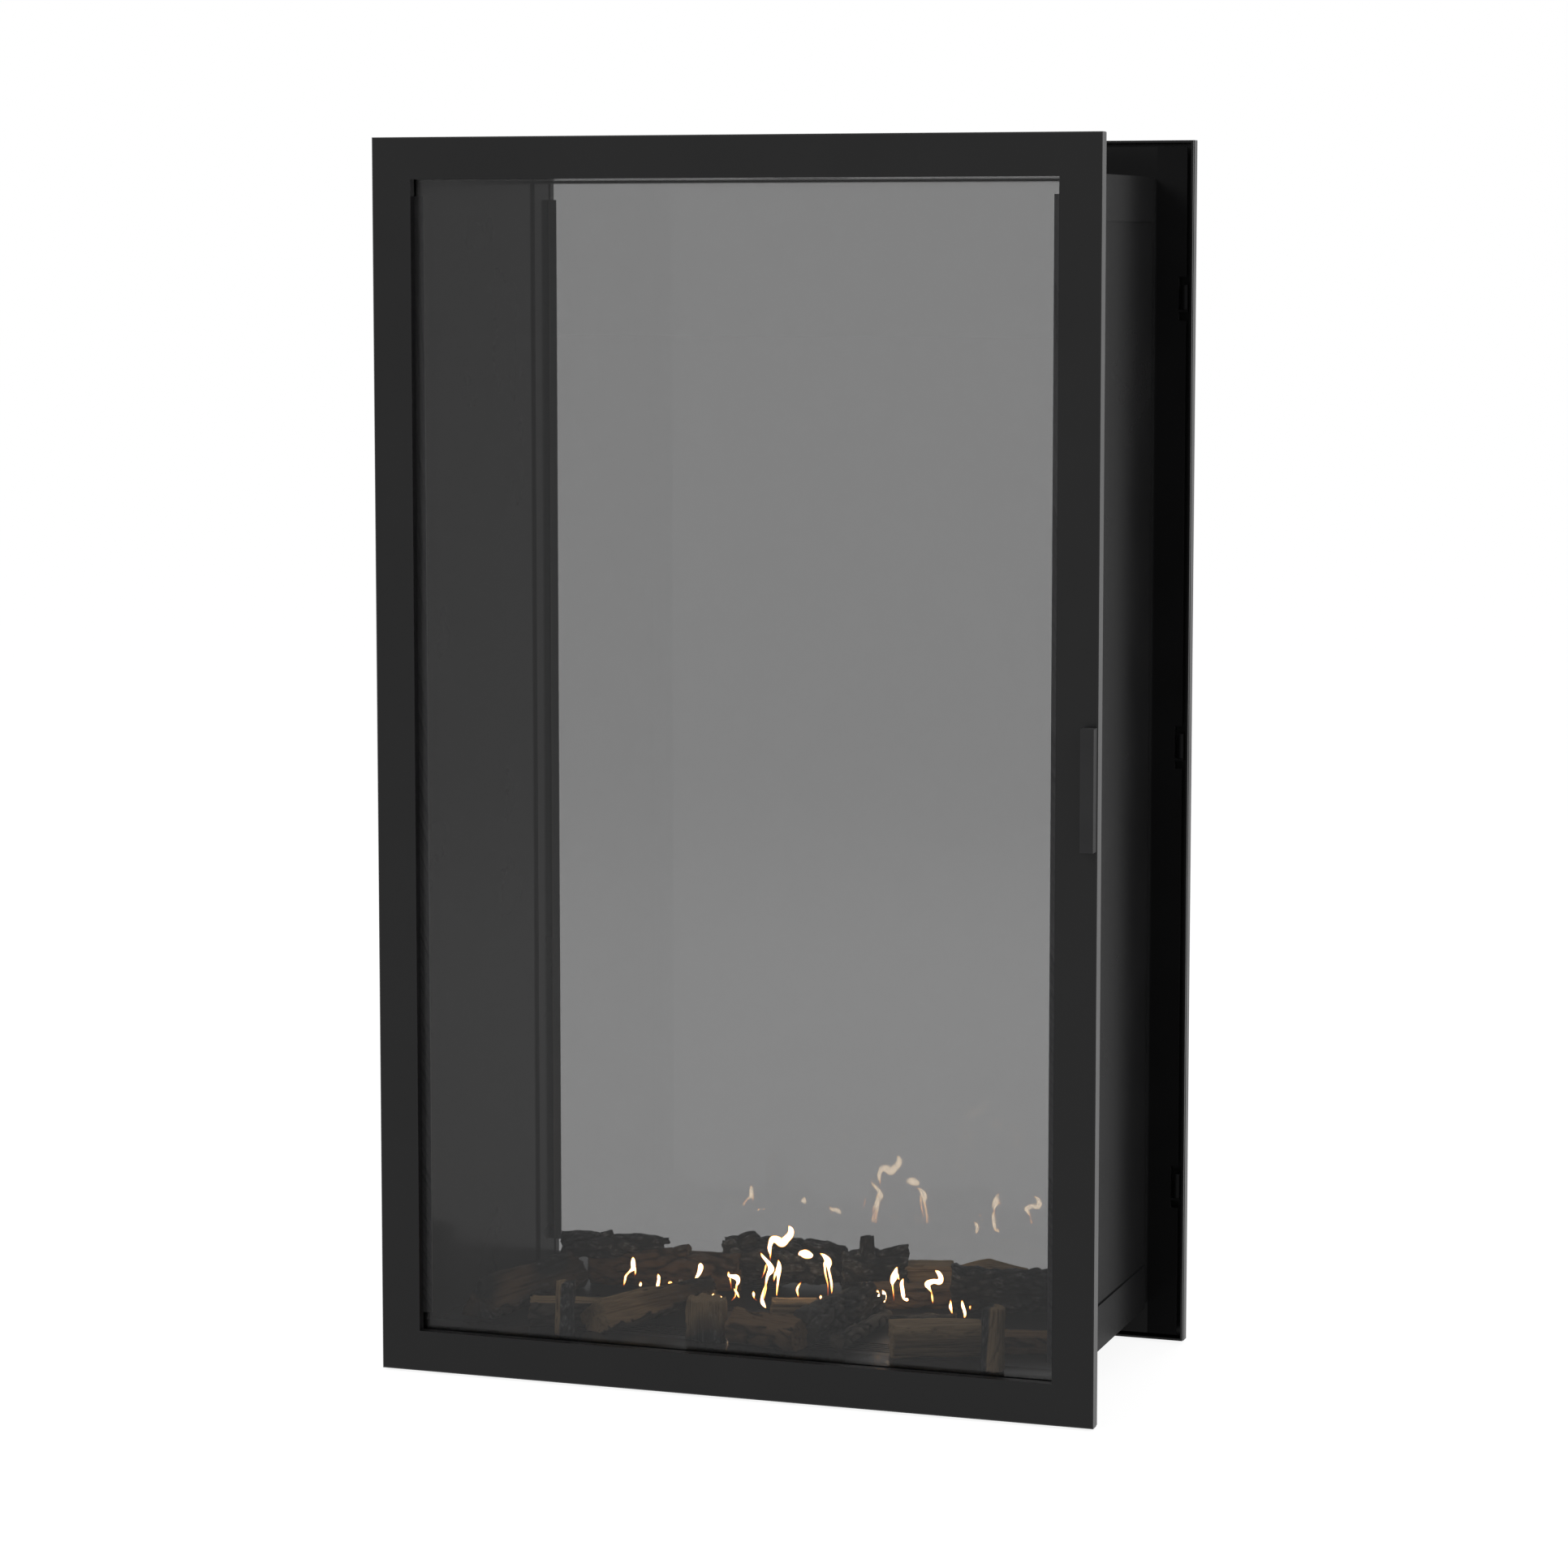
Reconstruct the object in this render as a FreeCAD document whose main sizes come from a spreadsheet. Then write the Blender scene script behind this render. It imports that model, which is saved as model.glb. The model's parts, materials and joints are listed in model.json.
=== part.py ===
"""Double-sided built-in gas fireplace: a see-through firebox between two glazed, hinged door leaves.

Frame: millimetres, +Z up, origin on the floor under the middle of the firebox.
The front door faces -Y. The rear door is the front one turned half a turn about Z.
"""
import FreeCAD, Part
import Sketcher
import math
import os
import re

FRONT = 1
REAR = -1
SIDES = (("front", FRONT), ("rear", REAR))
AXIS_TURNS = {"x": (FreeCAD.Vector(0, 1, 0), 90), "y": (FreeCAD.Vector(1, 0, 0), -90)}

SIZES = {
    # Door leaf, seen from the room
    "leaf_width": 900.0,
    "leaf_height": 1500.0,
    "case_depth": 464.0,
    "floor_gap": 3.0,
    "border_width": 50.0,
    "cover_depth": 16.0,
    "rim_depth": 5.0,
    "rim_inset": 0.5,
    "leaf_wall": 3.0,
    "edge_bevel": 1.5,
    "return_depth": 11.0,
    # Glass and what holds it in the leaf
    "glass_thickness": 4.0,
    "glass_overlap": 12.0,
    "tape_thickness": 1.0,
    "tape_width": 8.0,
    "retainer_sheet": 1.5,
    "retainer_lip": 10.0,
    "retainer_edge_gap": 1.0,
    "retainer_end_gap": 20.0,
    "retainer_tab": 6.0,
    "screw_diameter": 3.0,
    "screw_head_diameter": 5.4,
    "screw_head": 2.0,
    "screw_wall_gap": 0.5,
    "retainer_screw_margin": 80.0,
    "seal_width": 9.0,
    "seal_offset": 22.0,
    "seal_gap": 0.3,
    # Fixed frame and collar behind each leaf
    "frame_thickness": 3.0,
    "frame_edge_gap": 8.0,
    "collar_wall": 3.0,
    "collar_show": 25.0,
    "collar_lap": 20.0,
    # Lift-off hinges
    "pin_diameter": 5.0,
    "pin_clearance": 0.08,
    "knuckle_wall": 1.5,
    "knuckle_length": 30.0,
    "hinge_inset": 10.0,
    "hinge_end_margin": 180.0,
    "lug_thickness": 3.0,
    "lug_gap": 0.4,
    "notch_clearance": 3.0,
    "strap_thickness": 2.5,
    # Magnetic catches
    "magnet_width": 8.0,
    "magnet_height": 40.0,
    "magnet_depth": 9.0,
    "strike_gap": 0.5,
    "catch_spacing": 900.0,
    # Handle
    "handle_length": 143.0,
    "handle_width": 16.0,
    "handle_depth": 15.0,
    "handle_edge_gap": 1.0,
    "handle_groove_width": 6.0,
    "handle_groove_depth": 7.0,
    "handle_foot": 4.0,
    "handle_screw_pitch": 96.0,
    # Firebox sheet metal
    "sheet": 2.0,
    "flange_height": 50.0,
    # Burner and hearth
    "hearth_plate": 3.0,
    "burner_length": 740.0,
    "burner_width": 92.0,
    "burner_flange": 12.0,
    "burner_height": 36.0,
    "burner_wall": 2.0,
    "burner_clearance": 0.5,
    "port_length": 16.0,
    "port_width": 3.0,
    "port_pitch": 38.0,
    "port_row_gap": 22.0,
    "slot_length": 170.0,
    "slot_width": 5.0,
    "slot_pitch": 9.0,
    "slot_row_offset": 34.0,
    "slot_group_offset": 140.0,
    "inlet_diameter": 15.0,
    "inlet_wall": 1.5,
    "inlet_length": 55.0,
    "union_diameter": 24.0,
    "union_length": 18.0,
    "pilot_diameter": 5.0,
    "pilot_height": 24.0,
    "pilot_spacing": 11.0,
    "pilot_base": 3.0,
    "pilot_margin": 4.0,
    "pilot_x": -150.0,
    "pilot_y": 30.0,
    # Flue outlet
    "flue_diameter": 150.0,
    "flue_wall": 2.0,
    "flue_height": 38.0,
    "flue_flange": 18.0,
    # Levelling feet
    "foot_diameter": 44.0,
    "foot_thickness": 8.0,
    "foot_stem": 12.0,
    "foot_nut": 22.0,
    "foot_nut_height": 8.0,
    "foot_inset_x": 105.0,
    "foot_inset_y": 46.0,
    # The ceramic logs follow one size, and lie clear of the walls and panes
    "log_set_width": 750.0,
    "log_wall_gap": 27.5,
    "log_glass_gap": 16.0,
    # Cutting tools run past what they cut by this much
    "overrun": 10.0,
}

COUNTS = {"ports_per_row": 15, "slots_per_group": 5, "retainer_screws": 5}

# Named places, worked out from the sizes above. The front side is written; the rear one is it turned.
PLACES = {
    "face_y": "(-case_depth / 2)",
    "cover_back": "(face_y + cover_depth)",
    "leaf_back": "(cover_back + rim_depth)",
    "leaf_half": "(leaf_width / 2)",
    "leaf_low": "floor_gap",
    "leaf_high": "(floor_gap + leaf_height)",
    "mid_z": "(floor_gap + leaf_height / 2)",
    "open_half": "(leaf_half - border_width)",
    "open_low": "(leaf_low + border_width)",
    "open_high": "(leaf_high - border_width)",
    "tape_front": "(face_y + return_depth)",
    "glass_front": "(tape_front + tape_thickness)",
    "glass_back": "(glass_front + glass_thickness)",
    "glass_half": "(open_half + glass_overlap)",
    "frame_front": "(leaf_back - frame_thickness)",
    "frame_half": "(leaf_half - frame_edge_gap)",
    "pivot_x": "(hinge_inset - leaf_half)",
    "pivot_y": "frame_front",
    "knuckle_radius": "(pin_diameter / 2 + pin_clearance + knuckle_wall)",
    "collar_half": "(open_half + collar_wall)",
    "collar_low": "(open_low - collar_wall)",
    "collar_high": "(open_high + collar_wall)",
    "shell_end": "(leaf_back + collar_show)",
    "wall_outer": "(collar_half + sheet)",
    "floor_top": "collar_low",
    "floor_under": "(floor_top - sheet)",
    "roof_under": "collar_high",
    "roof_top": "(roof_under + sheet)",
    "hearth_top": "(floor_top + hearth_plate)",
    "hearth_end": "(shell_end + collar_lap)",
    "hearth_half": "(collar_half - burner_clearance)",
    "burner_low": "(hearth_top - burner_height)",
    "notch_x": "(pivot_x + knuckle_radius + notch_clearance)",
    "retainer_x": "(glass_half + retainer_edge_gap)",
    "retainer_back": "(glass_back + retainer_sheet)",
    "retainer_low": "(open_low + retainer_end_gap)",
    "retainer_high": "(open_high - retainer_end_gap)",
    "screw_run": "(retainer_high - retainer_low - 2 * retainer_screw_margin)",
    "plate_inside": "(face_y + leaf_wall)",
    "magnet_front": "(frame_front - magnet_depth)",
    "log_field_width": "(2 * (hearth_half - log_wall_gap))",
    "log_field_depth": "(-2 * (glass_back + log_glass_gap))",
}

# Every log: start of its axis (x, y, z), turn and rise in degrees, length and the two end radii.
# x is a share of the width that the logs lie on, y of its depth, and the rest are shares of log_set_width.
# z is above the hearth.
# Splits give the angle of a split face about the axis and how far it lies from the axis, in radii.
LOG_SHARES = {
    "left_long_log": ((-0.478, -0.367, 0.030), 76, 0, 0.270, 0.044, 0.038, ((150, 0.35), (40, 0.55))),
    "left_short_log": ((-0.383, -0.367, 0.022), 18, 0, 0.150, 0.030, 0.028, ((90, 0.55), (215, 0.75))),
    "front_left_log": ((-0.262, -0.416, 0.032), 64, 0, 0.255, 0.040, 0.026, ((125, 0.30), (20, 0.62))),
    "stump_log": ((-0.072, -0.383, 0.000), 0, 90, 0.066, 0.037, 0.033, ((20, 0.70), (250, 0.80))),
    "centre_brown_log": ((-0.026, -0.383, 0.024), -14, 0, 0.125, 0.030, 0.028, ((60, 0.72),)),
    "thick_dark_log": ((0.094, -0.401, 0.030), 80, 0, 0.225, 0.034, 0.033, ()),
    "front_right_log": (
        (0.243, -0.409, 0.030), 24, 0, 0.145, 0.046, 0.042, ((95, 0.50), (200, 0.62), (330, 0.70))),
    "right_slab": ((0.400, -0.240, 0.012), 14, 0, 0.104, 0.030, 0.028, ((90, 0.55),)),
    "rear_brown_log": ((-0.390, 0.203, 0.030), 4, 0, 0.258, 0.034, 0.032, ((250, 0.85),)),
    "rear_centre_log": ((-0.168, 0.300, 0.042), 10, 0, 0.205, 0.042, 0.036, ()),
    "rear_charred_log": ((0.040, 0.304, 0.034), 20, 0, 0.108, 0.038, 0.034, ()),
    "rear_slab": ((0.096, 0.176, 0.014), 18, 0, 0.196, 0.032, 0.030, ((90, 0.62),)),
    "right_charred_log": ((0.250, 0.200, 0.034), 14, 0, 0.190, 0.038, 0.034, ()),
    "top_bark_log": ((-0.428, 0.113, 0.072), 26, -3, 0.170, 0.025, 0.019, ()),
    "left_upright": ((-0.307, -0.465, 0.000), 0, 88, 0.086, 0.021, 0.018, ((70, 0.55), (190, 0.6))),
    "right_upright": ((0.420, -0.475, 0.000), 0, 88, 0.100, 0.021, 0.019, ((110, 0.6), (230, 0.7))),
    "thin_branch": ((0.154, -0.409, 0.014), 84, 0, 0.200, 0.014, 0.011, ()),
    "grey_branch": ((0.196, -0.131, 0.015), 28, 0, 0.110, 0.015, 0.012, ()),
    "centre_block": (
        (-0.010, -0.116, 0.020), 18, 0, 0.074, 0.032, 0.030, ((90, 0.45), (0, 0.7), (180, 0.7))),
    "rear_block": (
        (0.140, 0.364, 0.026), 18, 0, 0.080, 0.036, 0.034, ((90, 0.75), (0, 0.7), (180, 0.7))),
    "rear_wedge": ((0.224, 0.360, 0.040), 14, 0, 0.125, 0.042, 0.034, ((50, 0.5), (130, 0.5))),
}

# Logs that are laid last, on others
TOP_LOGS = ("front_left_log", "thick_dark_log", "top_bark_log", "rear_wedge")

# Small pieces of one kind share a node
LOG_GROUPS = {
    "split_uprights": ("left_upright", "right_upright"),
    "charred_branches": ("thin_branch", "grey_branch"),
    "light_blocks": ("centre_block", "rear_block", "rear_wedge"),
}

# A broken-off side branch stands on one log: place along the log, size and length in shares
STUB_LOG = "rear_charred_log"
STUB_PLACE_SHARE = 0.38
STUB_RADIUS_SHARE = 0.40
STUB_LENGTH_SHARE = 1.75

doc = FreeCAD.newDocument("fireplace")
sheet = doc.addObject("Spreadsheet::Sheet", "sizes")
for row, (alias, number) in enumerate(SIZES.items(), start=1):
    sheet.set("A%d" % row, alias)
    sheet.set("B%d" % row, str(number))
    sheet.setAlias("B%d" % row, alias)
doc.recompute()

PLACE_WORD = re.compile(r"\b(" + "|".join(PLACES) + r")\b")
SIZE_WORD = re.compile(r"\b(" + "|".join(SIZES) + r")\b")
nodes = {}


def formula(text):
    """Write a formula of named sizes and places as an expression on the sheet."""
    while PLACE_WORD.search(text):
        text = PLACE_WORD.sub(lambda word: PLACES[word.group(1)], text)
    return SIZE_WORD.sub(r"sizes.\1", text)


def bind(item, prop, text):
    item.setExpression(prop, formula(text))


def span(low, high, side):
    """A span of X or Y, or the same span turned to the other side."""
    if side == FRONT:
        return low, high
    return "-(%s)" % high, "-(%s)" % low


def box(x_span, y_span, z_span, side=FRONT):
    """A block between pairs of faces, each given by a formula."""
    item = doc.addObject("Part::Box", "block")
    spans = (span(*x_span, side), span(*y_span, side), z_span)
    for prop, axis, (low, high) in zip(("Length", "Width", "Height"), "xyz", spans):
        bind(item, prop, "(%s) - (%s)" % (high, low))
        bind(item, "Placement.Base.%s" % axis, low)
    return item


def rod(radius, centre_x, centre_y, z_span, side=FRONT):
    """A round bar along Z."""
    item = doc.addObject("Part::Cylinder", "rod")
    low, high = z_span
    bind(item, "Radius", radius)
    bind(item, "Height", "(%s) - (%s)" % (high, low))
    for axis, place in (("x", centre_x), ("y", centre_y)):
        bind(item, "Placement.Base.%s" % axis, place if side == FRONT else "-(%s)" % place)
    bind(item, "Placement.Base.z", low)
    return item


def rod_along(axis, radius, length, x, y, z, side=FRONT):
    """A round bar from a point, along X or along Y."""
    item = doc.addObject("Part::Cylinder", "rod")
    bind(item, "Radius", radius)
    bind(item, "Height", length)
    hinge, angle = AXIS_TURNS[axis]
    item.Placement.Rotation = FreeCAD.Rotation(hinge, angle * side)
    for letter, place in (("x", x), ("y", y)):
        bind(item, "Placement.Base.%s" % letter, place if side == FRONT else "-(%s)" % place)
    bind(item, "Placement.Base.z", z)
    return item


def joined(items, kind="Part::MultiFuse"):
    if len(items) == 1:
        return items[0]
    item = doc.addObject(kind, "joined")
    if kind == "Part::Compound":
        item.Links = items
    else:
        item.Shapes = items
        item.Refine = True
    return item


def cut(base, *tools):
    item = doc.addObject("Part::Cut", "cut")
    item.Base = base
    item.Tool = joined(list(tools), "Part::Compound")
    item.Refine = True
    return item


def node(name, item):
    """Name a finished piece; the name is its file's name too."""
    item.Label = name
    nodes[name] = item
    return item


def group(name, items):
    return node(name, joined(items, "Part::Compound"))


def wide(text):
    """The span from minus to plus a half width."""
    return "-(%s)" % text, text


def past(low, high):
    """A span with the overrun added at both ends."""
    return "(%s) - overrun" % low, "(%s) + overrun" % high


def ring(x_half, z_span, wall_x, wall_z, y_span, side):
    """An upright rectangular ring with its own wall on the sides and on the rails."""
    low, high = z_span
    outer = box(wide(x_half), y_span, z_span, side)
    hole_z = ("(%s) + %s" % (low, wall_z), "(%s) - %s" % (high, wall_z))
    hole = box(wide("%s - %s" % (x_half, wall_x)), past(*y_span), hole_z, side)
    return cut(outer, hole)


def bevelled_plate(side):
    """The front of the leaf, whose outer edges are bevelled all round."""
    item = doc.addObject("Part::Wedge", "bevel")
    bind(item, "Ymin", "0")
    bind(item, "Ymax", "edge_bevel")
    for low, high, half in (("Xmin", "Xmax", "leaf_half"), ("Zmin", "Zmax", "leaf_height / 2")):
        bind(item, low, "-(%s)" % half)
        bind(item, high, half)
    for low, high, half in (("X2min", "X2max", "leaf_half"), ("Z2min", "Z2max", "leaf_height / 2")):
        bind(item, low, "edge_bevel - %s" % half)
        bind(item, high, "%s - edge_bevel" % half)
    place = "face_y + edge_bevel"
    if side == FRONT:
        item.Placement.Rotation = FreeCAD.Rotation(FreeCAD.Vector(1, 0, 0), 180)
    bind(item, "Placement.Base.y", place if side == FRONT else "-(%s)" % place)
    bind(item, "Placement.Base.z", "mid_z")
    return item


def outline_sketch(body, name, role, points):
    """A closed outline on one of the body's own planes, each corner held by two bound distances."""
    sketch = body.newObject("Sketcher::SketchObject", name)
    plane = [item for item in body.Origin.OriginFeatures if item.Role == role]
    sketch.AttachmentSupport = [(plane[0], "")]
    sketch.MapMode = "FlatFace"
    count = len(points)
    turn = 2 * math.pi / count
    loose = [FreeCAD.Vector(math.cos(turn * i), math.sin(turn * i), 0) for i in range(count)]
    for i in range(count):
        sketch.addGeometry(Part.LineSegment(loose[i], loose[(i + 1) % count]))
    for i in range(count):
        sketch.addConstraint(Sketcher.Constraint("Coincident", i, 2, (i + 1) % count, 1))
    for i, point in enumerate(points):
        for kind, axis, text in zip(("DistanceX", "DistanceY"), (-2, -1), point):
            if text == "0":
                sketch.addConstraint(Sketcher.Constraint("PointOnObject", i, 1, axis))
                continue
            index = sketch.addConstraint(Sketcher.Constraint(kind, -1, 1, i, 1, SIZES["overrun"]))
            bind(sketch, "Constraints[%d]" % index, text)
    return sketch


def padded_body(role, points, length):
    body = doc.addObject("PartDesign::Body", "body")
    pad = body.newObject("PartDesign::Pad", "pad")
    pad.Profile = outline_sketch(body, "outline", role, points)
    bind(pad, "Length", length)
    return body


def turned_body(points):
    """A body of revolution about Z from an outline of (radius, height) corners."""
    body = doc.addObject("PartDesign::Body", "body")
    sketch = outline_sketch(body, "outline", "XZ_Plane", points)
    revolution = body.newObject("PartDesign::Revolution", "revolution")
    revolution.Profile = sketch
    revolution.ReferenceAxis = (sketch, ["V_Axis"])
    revolution.Angle = 360
    return body


def place(item, x, y, z, side=FRONT):
    bind(item, "Placement.Base.x", x if side == FRONT else "-(%s)" % x)
    bind(item, "Placement.Base.y", y if side == FRONT else "-(%s)" % y)
    bind(item, "Placement.Base.z", z)
    if side == REAR:
        item.Placement.Rotation = FreeCAD.Rotation(FreeCAD.Vector(0, 0, 1), 180)
    return item


def handle_holes(side):
    """The two screws that hold the handle from inside the leaf, head first."""
    screws = []
    for sign in ("+", "-"):
        z = "mid_z %s handle_screw_pitch / 2" % sign
        x = "leaf_half - leaf_wall - screw_wall_gap - screw_head_diameter / 2"
        start = "face_y - handle_depth / 2"
        shank = rod_along("y", "screw_diameter / 2", "handle_depth / 2 + leaf_wall", x, start, z, side)
        head = rod_along("y", "screw_head_diameter / 2", "screw_head", x, "plate_inside", z, side)
        screws.append((shank, head))
    return screws


def door_leaf(label, side, screws):
    """A folded steel pan: bevelled front, outer wall, back rim and an inner return round the glass."""
    height = ("leaf_low", "leaf_high")
    cover = box(wide("leaf_half"), ("face_y + edge_bevel", "cover_back"), height, side)
    rim_height = ("leaf_low + rim_inset", "leaf_high - rim_inset")
    rim = box(wide("leaf_half - rim_inset"), ("cover_back", "leaf_back"), rim_height, side)
    hollow_height = ("leaf_low + leaf_wall", "leaf_high - leaf_wall")
    hollow_depth = ("plate_inside", "leaf_back + overrun")
    hollow = box(wide("leaf_half - leaf_wall"), hollow_depth, hollow_height, side)
    pan = cut(joined([bevelled_plate(side), cover, rim]), hollow)
    return_height = ("open_low - leaf_wall", "open_high + leaf_wall")
    inner_return = box(wide("open_half + leaf_wall"), ("plate_inside", "tape_front"), return_height, side)
    opening = box(wide("open_half"), past("face_y", "leaf_back"), ("open_low", "open_high"), side)
    shanks = [shank for shank, head in screws]
    node(label + "_door_leaf", cut(joined([pan, inner_return]), opening, *shanks))


def door_glass(label, side):
    height = ("open_low - glass_overlap", "open_high + glass_overlap")
    node(label + "_door_glass", box(wide("glass_half"), ("glass_front", "glass_back"), height, side))
    tape_height = ("open_low - tape_width", "open_high + tape_width")
    tape_y = ("tape_front", "glass_front")
    tape = ring("(open_half + tape_width)", tape_height, "tape_width", "tape_width", tape_y, side)
    node(label + "_glass_tape", tape)


def glass_retainers(label, side):
    """Two upright angle strips that clamp the glass from inside, each screwed to the leaf."""
    strips = []
    screws = []
    height = ("retainer_low", "retainer_high")
    for sign in (1, -1):
        lip_x = span("open_half - retainer_lip", "retainer_x + retainer_sheet", sign)
        leg_x = span("retainer_x", "retainer_x + retainer_sheet", sign)
        foot_x = span("retainer_x", "retainer_x + retainer_sheet + retainer_tab", sign)
        lip = box(lip_x, ("glass_back", "retainer_back"), height, side)
        leg = box(leg_x, ("plate_inside", "retainer_back"), height, side)
        foot = box(foot_x, ("plate_inside", "plate_inside + retainer_sheet"), height, side)
        screw_x = "(retainer_x + retainer_sheet + retainer_tab / 2) * %d" % sign
        shanks = []
        for i in range(COUNTS["retainer_screws"]):
            share = i / (COUNTS["retainer_screws"] - 1)
            z = "retainer_low + retainer_screw_margin + %g * screw_run" % share
            shank = rod_along("y", "screw_diameter / 2", "retainer_sheet", screw_x, "plate_inside", z, side)
            head_y = "plate_inside + retainer_sheet"
            head = rod_along("y", "screw_head_diameter / 2", "screw_head", screw_x, head_y, z, side)
            shanks.append(shank)
            screws.append(joined([shank, head]))
        strips.append(cut(joined([lip, leg, foot]), *shanks))
    group(label + "_glass_retainers", strips)
    group(label + "_retainer_screws", screws)


def rope_seal(label, side):
    reach = "(seal_offset + seal_width)"
    height = ("open_low - %s" % reach, "open_high + %s" % reach)
    depth = ("plate_inside", "frame_front - seal_gap")
    seal = ring("(open_half + %s)" % reach, height, "seal_width", "seal_width", depth, side)
    node(label + "_rope_seal", seal)


def door_handle(label, side, screws):
    """An edge pull of one milled bar, with a finger groove on the side away from the leaf's edge."""
    groove_low = "handle_depth - handle_foot - handle_groove_width"
    groove_high = "handle_depth - handle_foot"
    outline = (
        ("0", "0"), ("handle_width", "0"), ("handle_width", "handle_depth"), ("0", "handle_depth"),
        ("0", groove_high), ("handle_groove_depth", groove_high),
        ("handle_groove_depth", groove_low), ("0", groove_low),
    )
    bar = padded_body("XY_Plane", outline, "handle_length")
    left = "leaf_half - handle_edge_gap - handle_width"
    place(bar, left, "face_y - handle_depth", "mid_z - handle_length / 2", side)
    node(label + "_door_handle", cut(bar, *[shank for shank, head in screws]))
    group(label + "_handle_screws", [joined(list(screw)) for screw in screws])


def hinge_heights():
    """The foot of each hinge's lug."""
    return ("leaf_low + hinge_end_margin", "mid_z - knuckle_length / 2",
            "leaf_high - hinge_end_margin - knuckle_length")


def hinges(label, side):
    """Lift-off hinges: lugs with upright pins on the fixed frame, and knuckles on the leaf."""
    pins = []
    knuckles = []
    notches = []
    for foot in hinge_heights():
        lug_top = "%s + lug_thickness" % foot
        low = "%s + lug_gap" % lug_top
        high = "%s + knuckle_length" % low
        reach = ("pivot_x - knuckle_radius", "notch_x")
        lug = box(reach, ("pivot_y - knuckle_radius", "leaf_back"), (foot, lug_top), side)
        pin = rod("pin_diameter / 2", "pivot_x", "pivot_y", (foot, high), side)
        pins.append(joined([lug, pin]))
        barrel = rod("knuckle_radius", "pivot_x", "pivot_y", (low, high), side)
        strap_x = ("pivot_x - strap_thickness / 2", "pivot_x + strap_thickness / 2")
        strap = box(strap_x, ("plate_inside", "pivot_y"), (low, high), side)
        bore = rod("pin_diameter / 2 + pin_clearance", "pivot_x", "pivot_y", past(low, high), side)
        knuckles.append(cut(joined([barrel, strap]), bore))
        notch_z = past(foot, high)
        notch_x_span = ("-(frame_half) - overrun", "notch_x")
        notches.append(box(notch_x_span, past("frame_front", "leaf_back"), notch_z, side))
    group(label + "_hinge_pins", pins)
    group(label + "_hinge_knuckles", knuckles)
    return notches


def fixed_frame(label, side, notches):
    """The flat ring that the leaf closes on, and the collar that carries it on the firebox."""
    height = ("leaf_low + frame_edge_gap", "leaf_high - frame_edge_gap")
    rail = "(border_width - frame_edge_gap - collar_wall)"
    stile = "(frame_half - collar_half)"
    flat = ring("frame_half", height, stile, rail, ("frame_front", "leaf_back"), side)
    node(label + "_fixed_frame", cut(flat, *notches))
    collar_y = ("frame_front", "hearth_end")
    collar_z = ("collar_low", "collar_high")
    collar = ring("collar_half", collar_z, "collar_wall", "collar_wall", collar_y, side)
    node(label + "_collar", collar)


def catches(label, side):
    """Magnets on the fixed frame and the strikes that meet them in the leaf."""
    magnets = []
    strikes = []
    x_span = ("frame_half - magnet_width", "frame_half")
    for sign in ("+", "-"):
        middle = "mid_z %s catch_spacing / 2" % sign
        height = ("%s - magnet_height / 2" % middle, "%s + magnet_height / 2" % middle)
        magnets.append(box(x_span, ("magnet_front", "frame_front"), height, side))
        strikes.append(box(x_span, ("plate_inside", "magnet_front - strike_gap"), height, side))
    group(label + "_catch_magnets", magnets)
    group(label + "_catch_strikes", strikes)


def slot_tools(sign, z_span):
    """The long air slots of one hearth plate, in two groups."""
    tools = []
    for group_sign in (1, -1):
        for i in range(COUNTS["slots_per_group"]):
            step = i - (COUNTS["slots_per_group"] - 1) / 2
            x = "%d * slot_group_offset" % group_sign
            y = "%d * (hearth_end + slot_row_offset) + %g * slot_pitch" % (-sign, step)
            x_span = ("%s - slot_length / 2" % x, "%s + slot_length / 2" % x)
            y_span = ("%s - slot_width / 2" % y, "%s + slot_width / 2" % y)
            tools.append(box(x_span, y_span, z_span))
    return tools


def channel_outline(height):
    """A wide U of sheet metal, open side down, whose flanges lap the side walls."""
    width = "2 * (wall_outer + sheet)"
    inner_width = "%s - sheet" % width
    inner_height = "%s - sheet" % height
    return (
        ("0", "0"), ("sheet", "0"), ("sheet", inner_height), (inner_width, inner_height),
        (inner_width, "0"), (width, "0"), (width, height), ("0", height),
    )


def firebox():
    """Side walls, and the roof and floor channels that lap them top and bottom."""
    length = ("shell_end", "-(shell_end)")
    walls_z = ("floor_top", "roof_under")
    node("left_side_wall", box(("-(wall_outer)", "-(collar_half)"), length, walls_z))
    node("right_side_wall", box(("collar_half", "wall_outer"), length, walls_z))
    height = "(flange_height + collar_wall + sheet)"
    roof = padded_body("XZ_Plane", channel_outline(height), "-2 * (shell_end)")
    place(roof, "-(wall_outer + sheet)", "-(shell_end)", "roof_top - %s" % height)
    flue_hole = rod("flue_diameter / 2", "0", "0", past("roof_under", "roof_top"))
    node("roof_channel", cut(roof, flue_hole))
    floor = padded_body("XZ_Plane", channel_outline(height), "-2 * (shell_end)")
    floor.Placement.Rotation = FreeCAD.Rotation(FreeCAD.Vector(0, 1, 0), 180)
    place(floor, "wall_outer + sheet", "-(shell_end)", "floor_under + %s" % height)
    well_x = wide("(burner_length / 2 + burner_clearance)")
    well_y = wide("(burner_width / 2 + burner_clearance)")
    well = box(well_x, well_y, past("floor_under", "floor_top"))
    air = [tool for sign in (1, -1) for tool in slot_tools(sign, past("floor_under", "floor_top"))]
    node("floor_channel", cut(floor, well, *air))


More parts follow.
